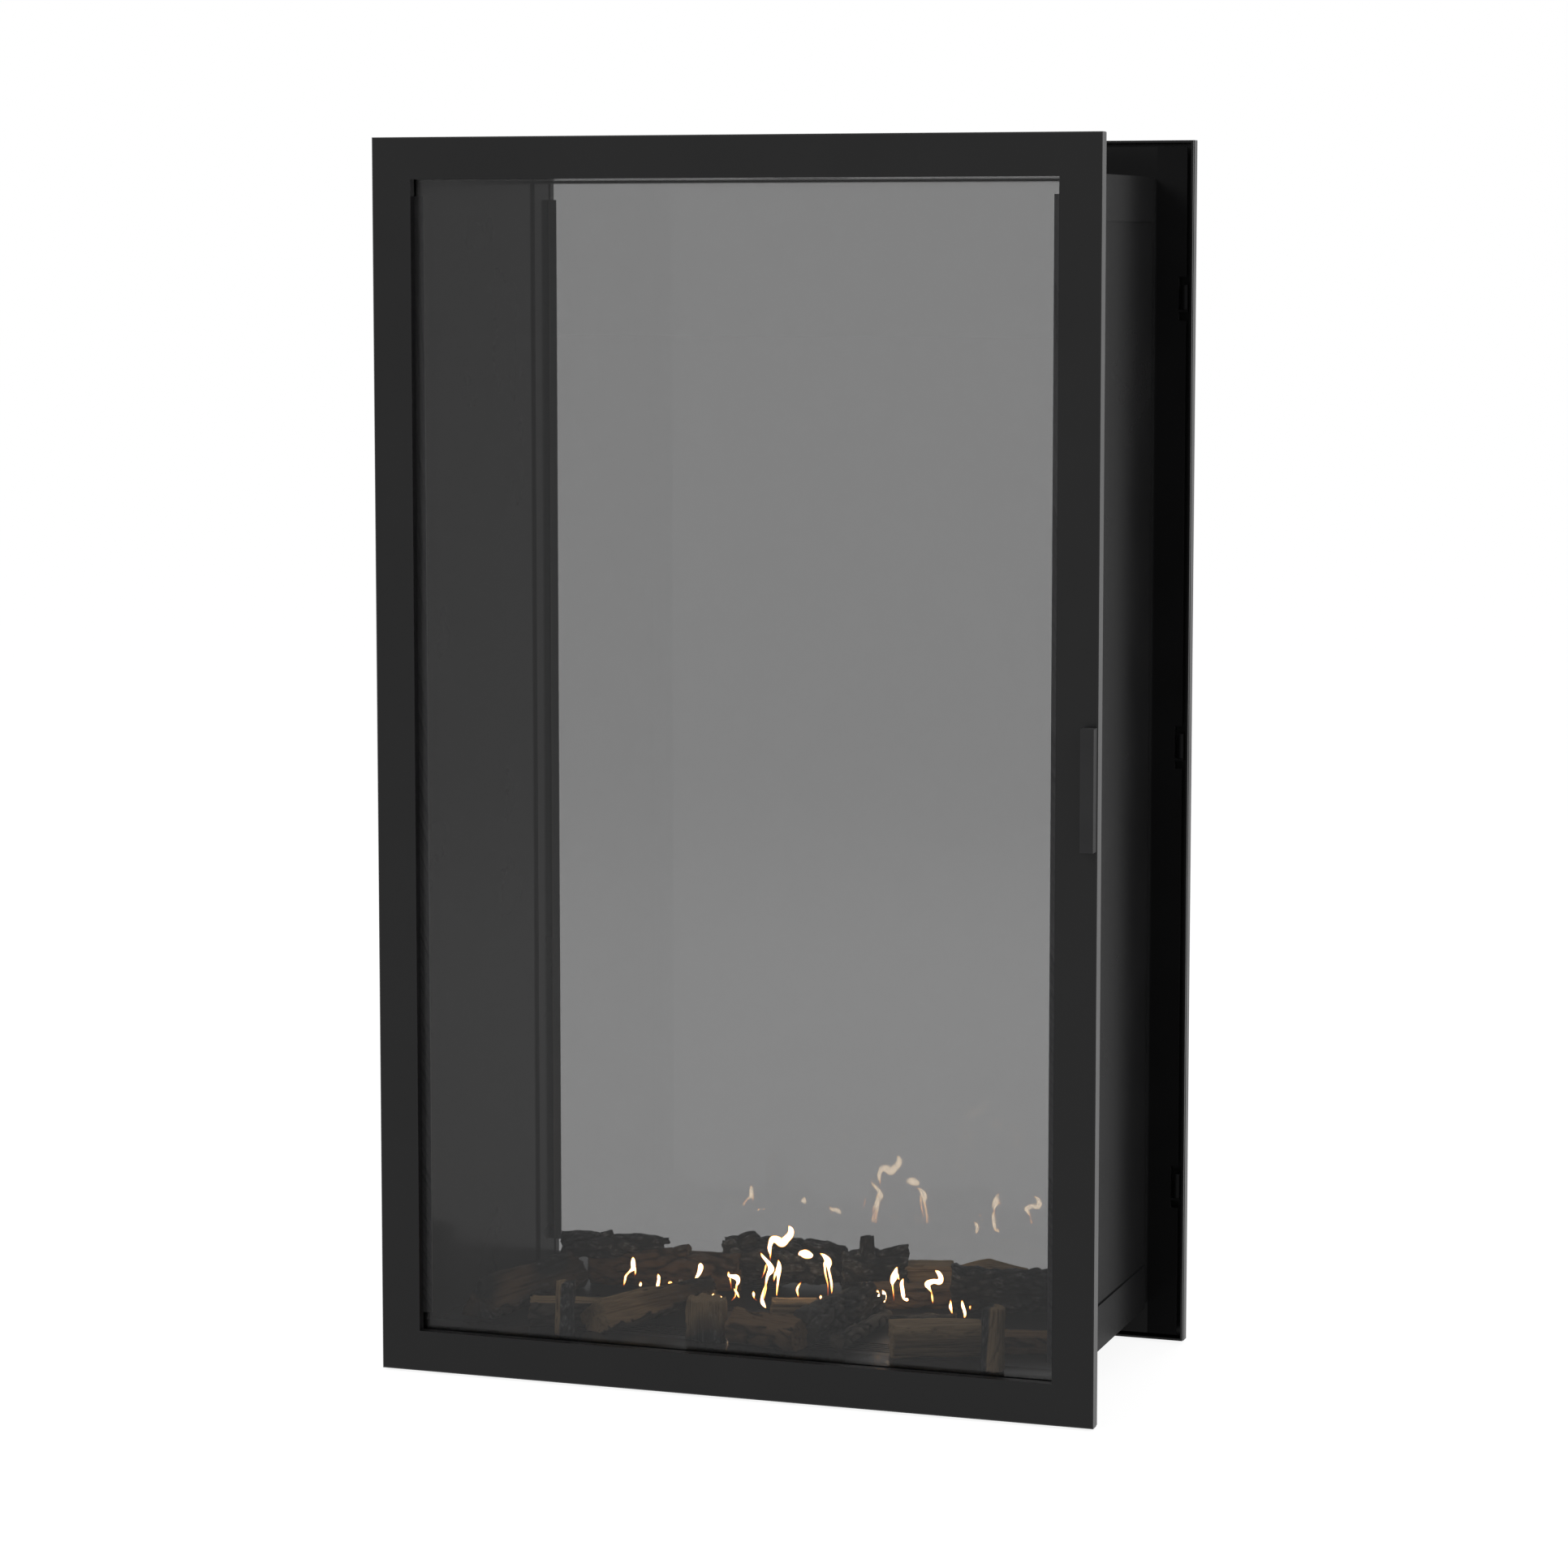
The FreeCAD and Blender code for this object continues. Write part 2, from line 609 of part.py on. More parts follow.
def flue_spigot():
    outer = "flue_diameter / 2"
    inner = "%s - flue_wall" % outer
    brim = "%s + flue_flange" % outer
    outline = (
        (inner, "0"), (brim, "0"), (brim, "flue_wall"),
        (outer, "flue_wall"), (outer, "flue_height"), (inner, "flue_height"),
    )
    spigot = turned_body(outline)
    bind(spigot, "Placement.Base.z", "roof_top")
    node("flue_spigot", spigot)


def hearth_plates():
    for label, side in SIDES:
        y_span = ("hearth_end", "-(burner_width / 2 + burner_flange + burner_clearance)")
        plate = box(wide("hearth_half"), y_span, ("floor_top", "hearth_top"), side)
        slots = slot_tools(-side, past("floor_top", "hearth_top"))
        node(label + "_hearth_plate", cut(plate, *slots))


def burner():
    """A closed burner box hung in the floor's well by its flange, with two rows of ports on top."""
    half_x = "(burner_length / 2)"
    half_y = "(burner_width / 2)"
    height = ("burner_low", "hearth_top")
    shell = box(wide(half_x), wide(half_y), height)
    flange = box(wide("hearth_half"), wide("(%s + burner_flange)" % half_y), ("floor_top", "hearth_top"))
    inside_z = ("burner_low + burner_wall", "hearth_top - burner_wall")
    inside = box(wide("(%s - burner_wall)" % half_x), wide("(%s - burner_wall)" % half_y), inside_z)
    ports = []
    for row in (1, -1):
        for i in range(COUNTS["ports_per_row"]):
            x = "%g * port_pitch" % (i - (COUNTS["ports_per_row"] - 1) / 2)
            y = "%d * port_row_gap / 2" % row
            x_span = ("%s - port_length / 2" % x, "%s + port_length / 2" % x)
            y_span = ("%s - port_width / 2" % y, "%s + port_width / 2" % y)
            ports.append(box(x_span, y_span, past("hearth_top - burner_wall", "hearth_top")))
    node("burner", cut(joined([shell, flange]), inside, *ports))


def gas_inlet():
    """The supply pipe at the burner's end, with the nut of its union."""
    start = "-(burner_length / 2 + inlet_length)"
    z = "(burner_low + hearth_top) / 2"
    pipe = rod_along("x", "inlet_diameter / 2", "inlet_length", start, "0", z)
    nut = rod_along("x", "union_diameter / 2", "union_length", start, "0", z)
    bore_length = "inlet_length + 2 * overrun"
    bore = rod_along("x", "inlet_diameter / 2 - inlet_wall", bore_length, start + " - overrun", "0", z)
    node("gas_inlet", cut(joined([pipe, nut]), bore))


def pilot():
    """The spark rod and the flame-sensing rod on their shared foot."""
    half = "(pilot_diameter / 2 + pilot_margin)"
    x_span = ("pilot_x - pilot_spacing / 2 - %s" % half, "pilot_x + pilot_spacing / 2 + %s" % half)
    foot_z = ("hearth_top", "hearth_top + pilot_base")
    parts = [box(x_span, ("pilot_y - %s" % half, "pilot_y + %s" % half), foot_z)]
    for sign in ("+", "-"):
        x = "pilot_x %s pilot_spacing / 2" % sign
        parts.append(rod("pilot_diameter / 2", x, "pilot_y", ("hearth_top", "hearth_top + pilot_height")))
    node("pilot_igniter", joined(parts))


def levelling_feet():
    feet = []
    nuts = []
    for x_sign in ("+", "-"):
        for y_sign in ("+", "-"):
            x = "%s(wall_outer - foot_inset_x)" % x_sign
            y = "%s(shell_end + foot_inset_y)" % y_sign
            pad = rod("foot_diameter / 2", x, y, ("0", "foot_thickness"))
            stem = rod("foot_stem / 2", x, y, ("0", "floor_under"))
            feet.append(joined([pad, stem]))
            nut = doc.addObject("Part::Prism", "nut")
            nut.Polygon = 6
            bind(nut, "Circumradius", "foot_nut / 2")
            bind(nut, "Height", "foot_nut_height")
            place(nut, x, y, "floor_under - foot_nut_height")
            hole = rod("foot_stem / 2", x, y, past("floor_under - foot_nut_height", "floor_under"))
            nuts.append(cut(nut, hole))
    group("levelling_feet", feet)
    group("foot_locknuts", nuts)


def scaled(share):
    return "(%g * log_set_width)" % share


def raw_log(name):
    """A tapered round log, split along its length where the table says so, laid in its place."""
    (x, y, z), turn, rise, length, near, far, splits = LOG_SHARES[name]
    log = doc.addObject("Part::Cone", "log")
    bind(log, "Radius1", scaled(near))
    bind(log, "Radius2", scaled(far))
    bind(log, "Height", scaled(length))
    if name == STUB_LOG:
        stub = doc.addObject("Part::Cone", "stub")
        bind(stub, "Radius1", scaled(near * STUB_RADIUS_SHARE))
        bind(stub, "Radius2", scaled(far * STUB_RADIUS_SHARE))
        bind(stub, "Height", scaled(near * STUB_LENGTH_SHARE))
        stub.Placement.Rotation = FreeCAD.Rotation(FreeCAD.Vector(0, 1, 0), -90)
        bind(stub, "Placement.Base.z", scaled(length * STUB_PLACE_SHARE))
        log = joined([log, stub])
    tools = [split_tool(angle, offset * near, length, near) for angle, offset in splits]
    if tools:
        log = cut(log, *tools)
    lie = FreeCAD.Rotation(FreeCAD.Vector(0, 1, 0), 90 - rise)
    log.Placement.Rotation = FreeCAD.Rotation(FreeCAD.Vector(0, 0, 1), turn).multiply(lie)
    place(log, "%g * log_field_width" % x, "%g * log_field_depth" % y, "hearth_top + %s" % scaled(z))
    return log


def split_tool(angle, offset, length, radius):
    """The wood beyond one split face: angle 90 is the upper side of a lying log."""
    tool = doc.addObject("Part::Box", "split")
    bind(tool, "Length", scaled(2 * radius))
    bind(tool, "Width", scaled(4 * radius))
    bind(tool, "Height", "%s + 2 * overrun" % scaled(length))
    heading = math.radians(270 - angle)
    tool.Placement.Rotation = FreeCAD.Rotation(FreeCAD.Vector(0, 0, 1), 270 - angle)
    bind(tool, "Placement.Base.x", scaled(offset * math.cos(heading) + 2 * radius * math.sin(heading)))
    bind(tool, "Placement.Base.y", scaled(offset * math.sin(heading) - 2 * radius * math.cos(heading)))
    bind(tool, "Placement.Base.z", "-overrun")
    return tool


def log_set():
    """Ceramic logs, flat where they lie on the hearth and moulded to the logs that lie there first."""
    reach = wide("log_set_width")
    slab = box(reach, reach, ("hearth_top - log_set_width", "hearth_top"))
    laid = {}
    first = [name for name in LOG_SHARES if name not in TOP_LOGS]
    for name in first + list(TOP_LOGS):
        laid[name] = cut(raw_log(name), slab, *laid.values())
    grouped = [name for names in LOG_GROUPS.values() for name in names]
    for name in LOG_SHARES:
        if name not in grouped:
            node(name, laid[name])
    for name, members in LOG_GROUPS.items():
        group(name, [laid[member] for member in members])


def write_parts():
    """Check every object and every piece, then write one file for each piece."""
    doc.recompute()
    for item in doc.Objects:
        if "Invalid" in item.State or "Error" in item.State:
            raise RuntimeError("failed object: %s %s" % (item.Label, item.State))
    for name, item in nodes.items():
        shape = item.Shape
        if shape.isNull() or not shape.isValid() or not shape.Solids:
            raise RuntimeError("bad shape: %s" % name)
    os.makedirs("parts", exist_ok=True)
    for name, item in nodes.items():
        item.Shape.exportStep("parts/%s.step" % name)


for side_label, side_sign in SIDES:
    handle_bolts = handle_holes(side_sign)
    door_leaf(side_label, side_sign, handle_bolts)
    door_glass(side_label, side_sign)
    glass_retainers(side_label, side_sign)
    rope_seal(side_label, side_sign)
    door_handle(side_label, side_sign, handle_bolts)
    fixed_frame(side_label, side_sign, hinges(side_label, side_sign))
    catches(side_label, side_sign)
firebox()
flue_spigot()
hearth_plates()
burner()
gas_inlet()
pilot()
levelling_feet()
log_set()
write_parts()
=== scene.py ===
"""Looks of a double-sided gas fireplace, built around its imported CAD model.

Metres, +Z up, front door towards -Y. The panes are grey-tinted and mirror the fire between them.
"""
import json
import math

import bpy
import numpy as np
from mathutils import Matrix, Vector, noise


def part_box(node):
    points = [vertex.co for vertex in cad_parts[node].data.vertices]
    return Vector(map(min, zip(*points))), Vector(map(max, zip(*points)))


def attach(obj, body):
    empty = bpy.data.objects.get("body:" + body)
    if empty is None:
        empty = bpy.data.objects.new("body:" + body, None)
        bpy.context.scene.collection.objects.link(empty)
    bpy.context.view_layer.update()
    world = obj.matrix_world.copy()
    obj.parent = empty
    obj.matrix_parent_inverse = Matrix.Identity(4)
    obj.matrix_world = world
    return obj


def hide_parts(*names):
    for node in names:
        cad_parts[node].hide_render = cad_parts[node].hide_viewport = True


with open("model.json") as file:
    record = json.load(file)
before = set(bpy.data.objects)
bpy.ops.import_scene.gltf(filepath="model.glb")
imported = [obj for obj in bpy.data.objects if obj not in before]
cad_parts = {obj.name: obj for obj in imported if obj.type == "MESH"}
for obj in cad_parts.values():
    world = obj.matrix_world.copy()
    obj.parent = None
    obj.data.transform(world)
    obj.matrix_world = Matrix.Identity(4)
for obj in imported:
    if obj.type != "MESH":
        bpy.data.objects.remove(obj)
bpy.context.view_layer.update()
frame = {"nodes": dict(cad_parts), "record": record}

NODES = frame["nodes"]
RECORD = frame["record"]
SLOT_OF = {row["node"]: row["material_slot"] for row in RECORD["subparts"]}
FIXED_BODY = "firebox"
HANDLES = ("front_door_handle", "rear_door_handle")
RETAINERS = ("front_glass_retainers", "rear_glass_retainers")

# Camera, fitted to the corners of the two frames in the photograph
CAMERA_PLACE = (1.7319, -5.1542, 1.3731)
CAMERA_YAW = 18.733
CAMERA_PITCH = 5.881
CAMERA_LENS = 102.28
CAMERA_SHIFT = (0.004, -0.05)

# Stage
SURROUND_LIGHT = 0.55
FLOOR_LEVEL = 0.89
FLOOR_REACH = 60.0
FLOOR_SHADE = 0.20
# Lamps: name, place, watts
LAMPS = (
    ("key", (-2.2, -3.4, 3.6), 90.0),
    ("side", (4.2, -0.6, 2.2), 60.0),
    ("back", (0.5, 3.6, 3.0), 60.0),
)
LAMP_AIM = (0.0, 0.0, 0.6)
LAMP_SIZE = 2.0

# Paints: shade, roughness, gloss. The handles have a paint of their own. The glass retainers have a much
# lighter copy of the shell paint, as painted light that lifts the shade on them beside the glass.
PAINTS = {
    "door_paint": (0.0085, 0.33, 0.22),
    "hearth_steel": (0.0060, 0.34, 0.35),
    "magnet": (0.05, 0.6, 0.4),
}
SHELL_PAINT = (0.0115, 0.26, 0.011)
HANDLE_PAINT = (0.043, 0.45, 0.03)
# Painted light: the retainers' shade is far lighter than the shell paint's, to brighten their shaded lips
# beside the glass
RETAINER_PAINTED_LIGHT = (0.200, 0.26, 0.011)
INSIDE_COAT_IOR = 1.165
INSIDE_COAT_ROUGHNESS = 0.16
# Texture of the paints: waves per metre, depth of the grain in metres, and drift of shade and roughness
DRIFT_WAVES = 7.0
PEEL_WAVES = 900.0
PEEL_DEPTH = 0.00006
SHADE_DRIFT = 0.15
ROUGHNESS_DRIFT = 0.05

# Metals: colour, roughness and the scale of the brushing along each axis
METALS = {
    "bright_steel": ((0.50, 0.50, 0.51), 0.32, (60.0, 60.0, 900.0)),
    "foot_steel": ((0.40, 0.40, 0.41), 0.38, (700.0, 60.0, 700.0)),
    "gas_brass": ((0.62, 0.46, 0.20), 0.30, (40.0, 800.0, 800.0)),
}
SPOT_WAVES = 60.0
SPOT_SHADE = 0.7
BRUSH_DEPTH = 0.00004
BRUSH_GLOSSIER = 0.08
BRUSH_DULLER = 0.10

# Logs: dark and light bark, then dark and light wood
LOG_COLOURS = {
    "split_wood": (
        (0.012, 0.011, 0.010), (0.105, 0.090, 0.075), (0.17, 0.115, 0.066), (0.40, 0.285, 0.17)),
    "brown_bark": (
        (0.018, 0.012, 0.008), (0.17, 0.105, 0.060), (0.10, 0.060, 0.034), (0.27, 0.17, 0.095)),
    "charred_bark": (
        (0.006, 0.006, 0.006), (0.150, 0.142, 0.132), (0.05, 0.042, 0.036), (0.12, 0.10, 0.08)),
}
CHAR_STOPS = (
    (0.36, (0.004, 0.004, 0.004)), (0.54, (0.022, 0.023, 0.024)), (0.64, (0.060, 0.062, 0.064)),
    (0.74, (0.24, 0.24, 0.24)))
# Patterns on the logs: waves per metre across and along the log, detail, roughness and distortion
FIBRE_PATTERN = ((520.0, 520.0, 16.0), 5.0, 0.65)
BAND_PATTERN = ((150.0, 150.0, 5.0), 3.0, 0.5, 0.6)
PLATE_PATTERN = ((170.0, 170.0, 60.0), 6.0, 0.7, 0.3)
ASH_PATTERN = ((230.0, 230.0, 120.0), 6.0, 0.75)
FIBRE_DEPTH = 0.0010
PLATE_DEPTH = 0.0030
LOG_GLOSS = 0.22
LOG_ROUGHNESS = (0.72, 0.95)

# Glass: its tint is the share of light that each face keeps back. The faces towards the fire mirror it.
GLASS_SHADE = 0.002
GLASS_TINT = 0.349
GLASS_IOR = 1.35
MIRROR_IOR = 2.0
MIRROR_ROUGHNESS = 0.005
SMEAR_WAVES = 3.0
SMEAR_ROUGHNESS = (0.004, 0.03)
# Glass-fibre seals and tapes
FIBRE_SHADE = 0.035
YARN_WAVES = 420.0
LOOSE_WAVES = 3 * YARN_WAVES
YARN_DEPTH = 0.0004
# Faces of panes and flames that a line of sight may pass
PANE_CROSSINGS = 32

# Corners of a square, in order
CORNERS = ((1, 1), (-1, 1), (-1, -1), (1, -1))

# Sizes shared with the CAD model
HEARTH_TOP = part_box("front_hearth_plate")[1].z
BURNER_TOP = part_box("burner")[1].z
LOG_FIELD = (0.750, 0.400, 0.750)
LOG_SCALE = 0.750
SHEET_MARGIN = 0.0005
SEAL_WIDTH = 0.009
SEAL_STEP = 0.004
SEAL_BRAID = 0.16
TAPE_WIDTH = 0.008
TAPE_STEP = 0.020
# Section of the seals and tapes: points around, points along a corner, how square it is, and its yarns
RING_ROUND = 12
CORNER_STEPS = 4
RING_SQUARENESS = 0.6
YARNS = 3
YARN_TWIST = 1.3

# Every log as in the CAD model: start (x, y, z) in shares of LOG_FIELD, turn and rise in degrees,
# length, near and far radius in shares of LOG_SCALE, then its split faces (angle, distance in radii).
LOG_SHARES = {
    "left_long_log": ((-0.478, -0.367, 0.030), 76, 0, 0.270, 0.044, 0.038, ((150, 0.35), (40, 0.55))),
    "left_short_log": ((-0.383, -0.367, 0.022), 18, 0, 0.150, 0.030, 0.028, ((90, 0.55), (215, 0.75))),
    "front_left_log": ((-0.262, -0.416, 0.032), 64, 0, 0.255, 0.040, 0.026, ((125, 0.30), (20, 0.62))),
    "stump_log": ((-0.072, -0.383, 0.000), 0, 90, 0.066, 0.037, 0.033, ((20, 0.70), (250, 0.80))),
    "centre_brown_log": ((-0.026, -0.383, 0.024), -14, 0, 0.125, 0.030, 0.028, ((60, 0.72),)),
    "thick_dark_log": ((0.094, -0.401, 0.030), 80, 0, 0.225, 0.034, 0.033, ()),
    "front_right_log": (
        (0.243, -0.409, 0.030), 24, 0, 0.145, 0.046, 0.042, ((95, 0.50), (200, 0.62), (330, 0.70))),
    "right_slab": ((0.400, -0.240, 0.012), 14, 0, 0.104, 0.030, 0.028, ((90, 0.55),)),
    "rear_brown_log": ((-0.390, 0.203, 0.030), 4, 0, 0.258, 0.034, 0.032, ((250, 0.85),)),
    "rear_centre_log": ((-0.168, 0.300, 0.042), 10, 0, 0.205, 0.042, 0.036, ()),
    "rear_charred_log": ((0.040, 0.304, 0.034), 20, 0, 0.108, 0.038, 0.034, ()),
    "rear_slab": ((0.096, 0.176, 0.014), 18, 0, 0.196, 0.032, 0.030, ((90, 0.62),)),
    "right_charred_log": ((0.250, 0.200, 0.034), 14, 0, 0.190, 0.038, 0.034, ()),
    "top_bark_log": ((-0.428, 0.113, 0.072), 26, -3, 0.170, 0.025, 0.019, ()),
    "left_upright": ((-0.307, -0.465, 0.000), 0, 88, 0.086, 0.021, 0.018, ((70, 0.55), (190, 0.6))),
    "right_upright": ((0.420, -0.475, 0.000), 0, 88, 0.100, 0.021, 0.019, ((110, 0.6), (230, 0.7))),
    "thin_branch": ((0.154, -0.409, 0.014), 84, 0, 0.200, 0.014, 0.011, ()),
    "grey_branch": ((0.196, -0.131, 0.015), 28, 0, 0.110, 0.015, 0.012, ()),
    "centre_block": (
        (-0.010, -0.116, 0.020), 18, 0, 0.074, 0.032, 0.030, ((90, 0.45), (0, 0.7), (180, 0.7))),
    "rear_block": (
        (0.140, 0.364, 0.026), 18, 0, 0.080, 0.036, 0.034, ((90, 0.75), (0, 0.7), (180, 0.7))),
    "rear_wedge": ((0.224, 0.360, 0.040), 14, 0, 0.125, 0.042, 0.034, ((50, 0.5), (130, 0.5))),
}
LOG_GROUPS = {
    "split_uprights": ("left_upright", "right_upright"),
    "charred_branches": ("thin_branch", "grey_branch"),
    "light_blocks": ("centre_block", "rear_block", "rear_wedge"),
}
# How far the fire has charred each log: share at its start and share at its end
CHAR_SHARES = {
    "left_long_log": (0.58, 0.70), "left_short_log": (0.10, 0.35), "front_left_log": (0.0, 0.75),
    "stump_log": (0.75, 0.0), "centre_brown_log": (0.15, 0.10), "thick_dark_log": (0.55, 0.70),
    "front_right_log": (0.0, 0.15), "right_slab": (0.10, 0.10), "rear_brown_log": (0.20, 0.30),
    "rear_centre_log": (0.75, 0.85), "rear_charred_log": (0.90, 0.80), "rear_slab": (0.25, 0.15),
    "right_charred_log": (0.85, 0.70), "top_bark_log": (0.90, 0.80), "left_upright": (0.25, 0.10),
    "right_upright": (0.25, 0.10), "thin_branch": (0.25, 0.35), "grey_branch": (0.30, 0.35),
    "centre_block": (0.0, 0.10), "rear_block": (0.05, 0.10), "rear_wedge": (0.10, 0.05),
}
# Logs without bark, and how much more charred a log is on its right side than on its left
BARE_LOGS = (
    "front_right_log", "stump_log", "centre_block", "rear_block", "rear_wedge", "left_upright",
    "right_upright")
CHAR_SIDE_SHARES = {"left_upright": 0.75, "right_upright": -0.75}
# Stubs of branches: log, place along it, lift of the foot in radii of the log, rise from the log's own line
# in degrees, then the stub's length and radius in radii of the log
STUBS = (
    ("rear_charred_log", 0.38, 0.0, 90, 1.75, 0.40),
    ("rear_charred_log", 0.52, 0.78, 12, 1.55, 0.34),
    ("top_bark_log", 0.86, 0.42, 3, 1.75, 0.30),
    ("top_bark_log", 0.40, 0.55, 24, 0.80, 0.45),
    ("rear_centre_log", 0.12, 0.62, 20, 0.75, 0.50),
    ("rear_brown_log", 0.58, 0.60, 18, 0.70, 0.55),
    ("right_charred_log", 0.74, 0.55, 10, 0.90, 0.50),
)
# A log whose top falls away to both ends
PEAKED_LOG = "rear_wedge"
PEAK_FALL_SHARE = 0.55

# Log mesh, with the depths of its relief in radii or in metres
LOG_SEED_START = 2.0
LOG_SEED_STEP = 7.3
# Shares of its seed that move a log's noise along x, y and z, its grain along y and its char along z
SEED_SHIFT = (1.0, 1.7, 3.1)
GRAIN_SHIFT = 0.7
CHAR_SHIFT = 5
# Distance in the noise between the two torn ends of a log
TORN_APART = 9
HEARTH_CLEARANCE = 0.0002
RING_STEP = 0.0026
ROUND_STEPS = 96
CAP_RINGS = 8
LUMP_SHARE = 0.24
FURROW_SHARE = 0.15
GRAIN_SHARE = 0.05
SPLINTER_DEPTH = 0.0016
SIDE_BLEND = 0.004
END_DEPTH = 0.0035
TORN_REACH = 3 * END_DEPTH
LEAST_RINGS = 8
STUB_TAPER = 0.9
# Waves of the relief per metre: in every direction, or across and along the log
LUMP_WAVES = 24
KNOT_WAVES = 58
FURROW_WAVES = (88, 34)
FINE_WAVES = (190, 80)
SPLINTER_WAVES = (230, 12)
BEND_WAVES = 15
TORN_WAVES = 75
CHAR_WAVES = (30, 16)
LUMP_PART = 0.7
KNOT_PART = 0.5
# A furrow is open where its noise is under this level
FURROW_EDGE = 0.20
# How high the bark stands: a start, then the parts of its plates, lumps and grain
BARK_START = 0.35
PLATE_PART = 0.5
RISE_PART = 0.35
GRAIN_PART = 0.25
# Settings of the layered noises: how fast the layers fade, step in scale, number of layers
GRAIN_LAYERS = (0.8, 2.0, 3)
SPLINTER_LAYERS = (1.0, 2.0, 3)
TORN_LAYERS = (0.8, 2.0, 4)
# A split face cuts the log only where the log turns towards it by more than this cosine
LEAST_FACING = 0.05
# Char spreads from this level, this fast, in patches this strong
CHAR_MIDDLE = 0.45
CHAR_SPREAD = 2.4
CHAR_PATCHES = 0.8
ROUGHNESS_SHARES = {"split_wood": 0.75, "brown_bark": 0.9, "charred_bark": 1.35}

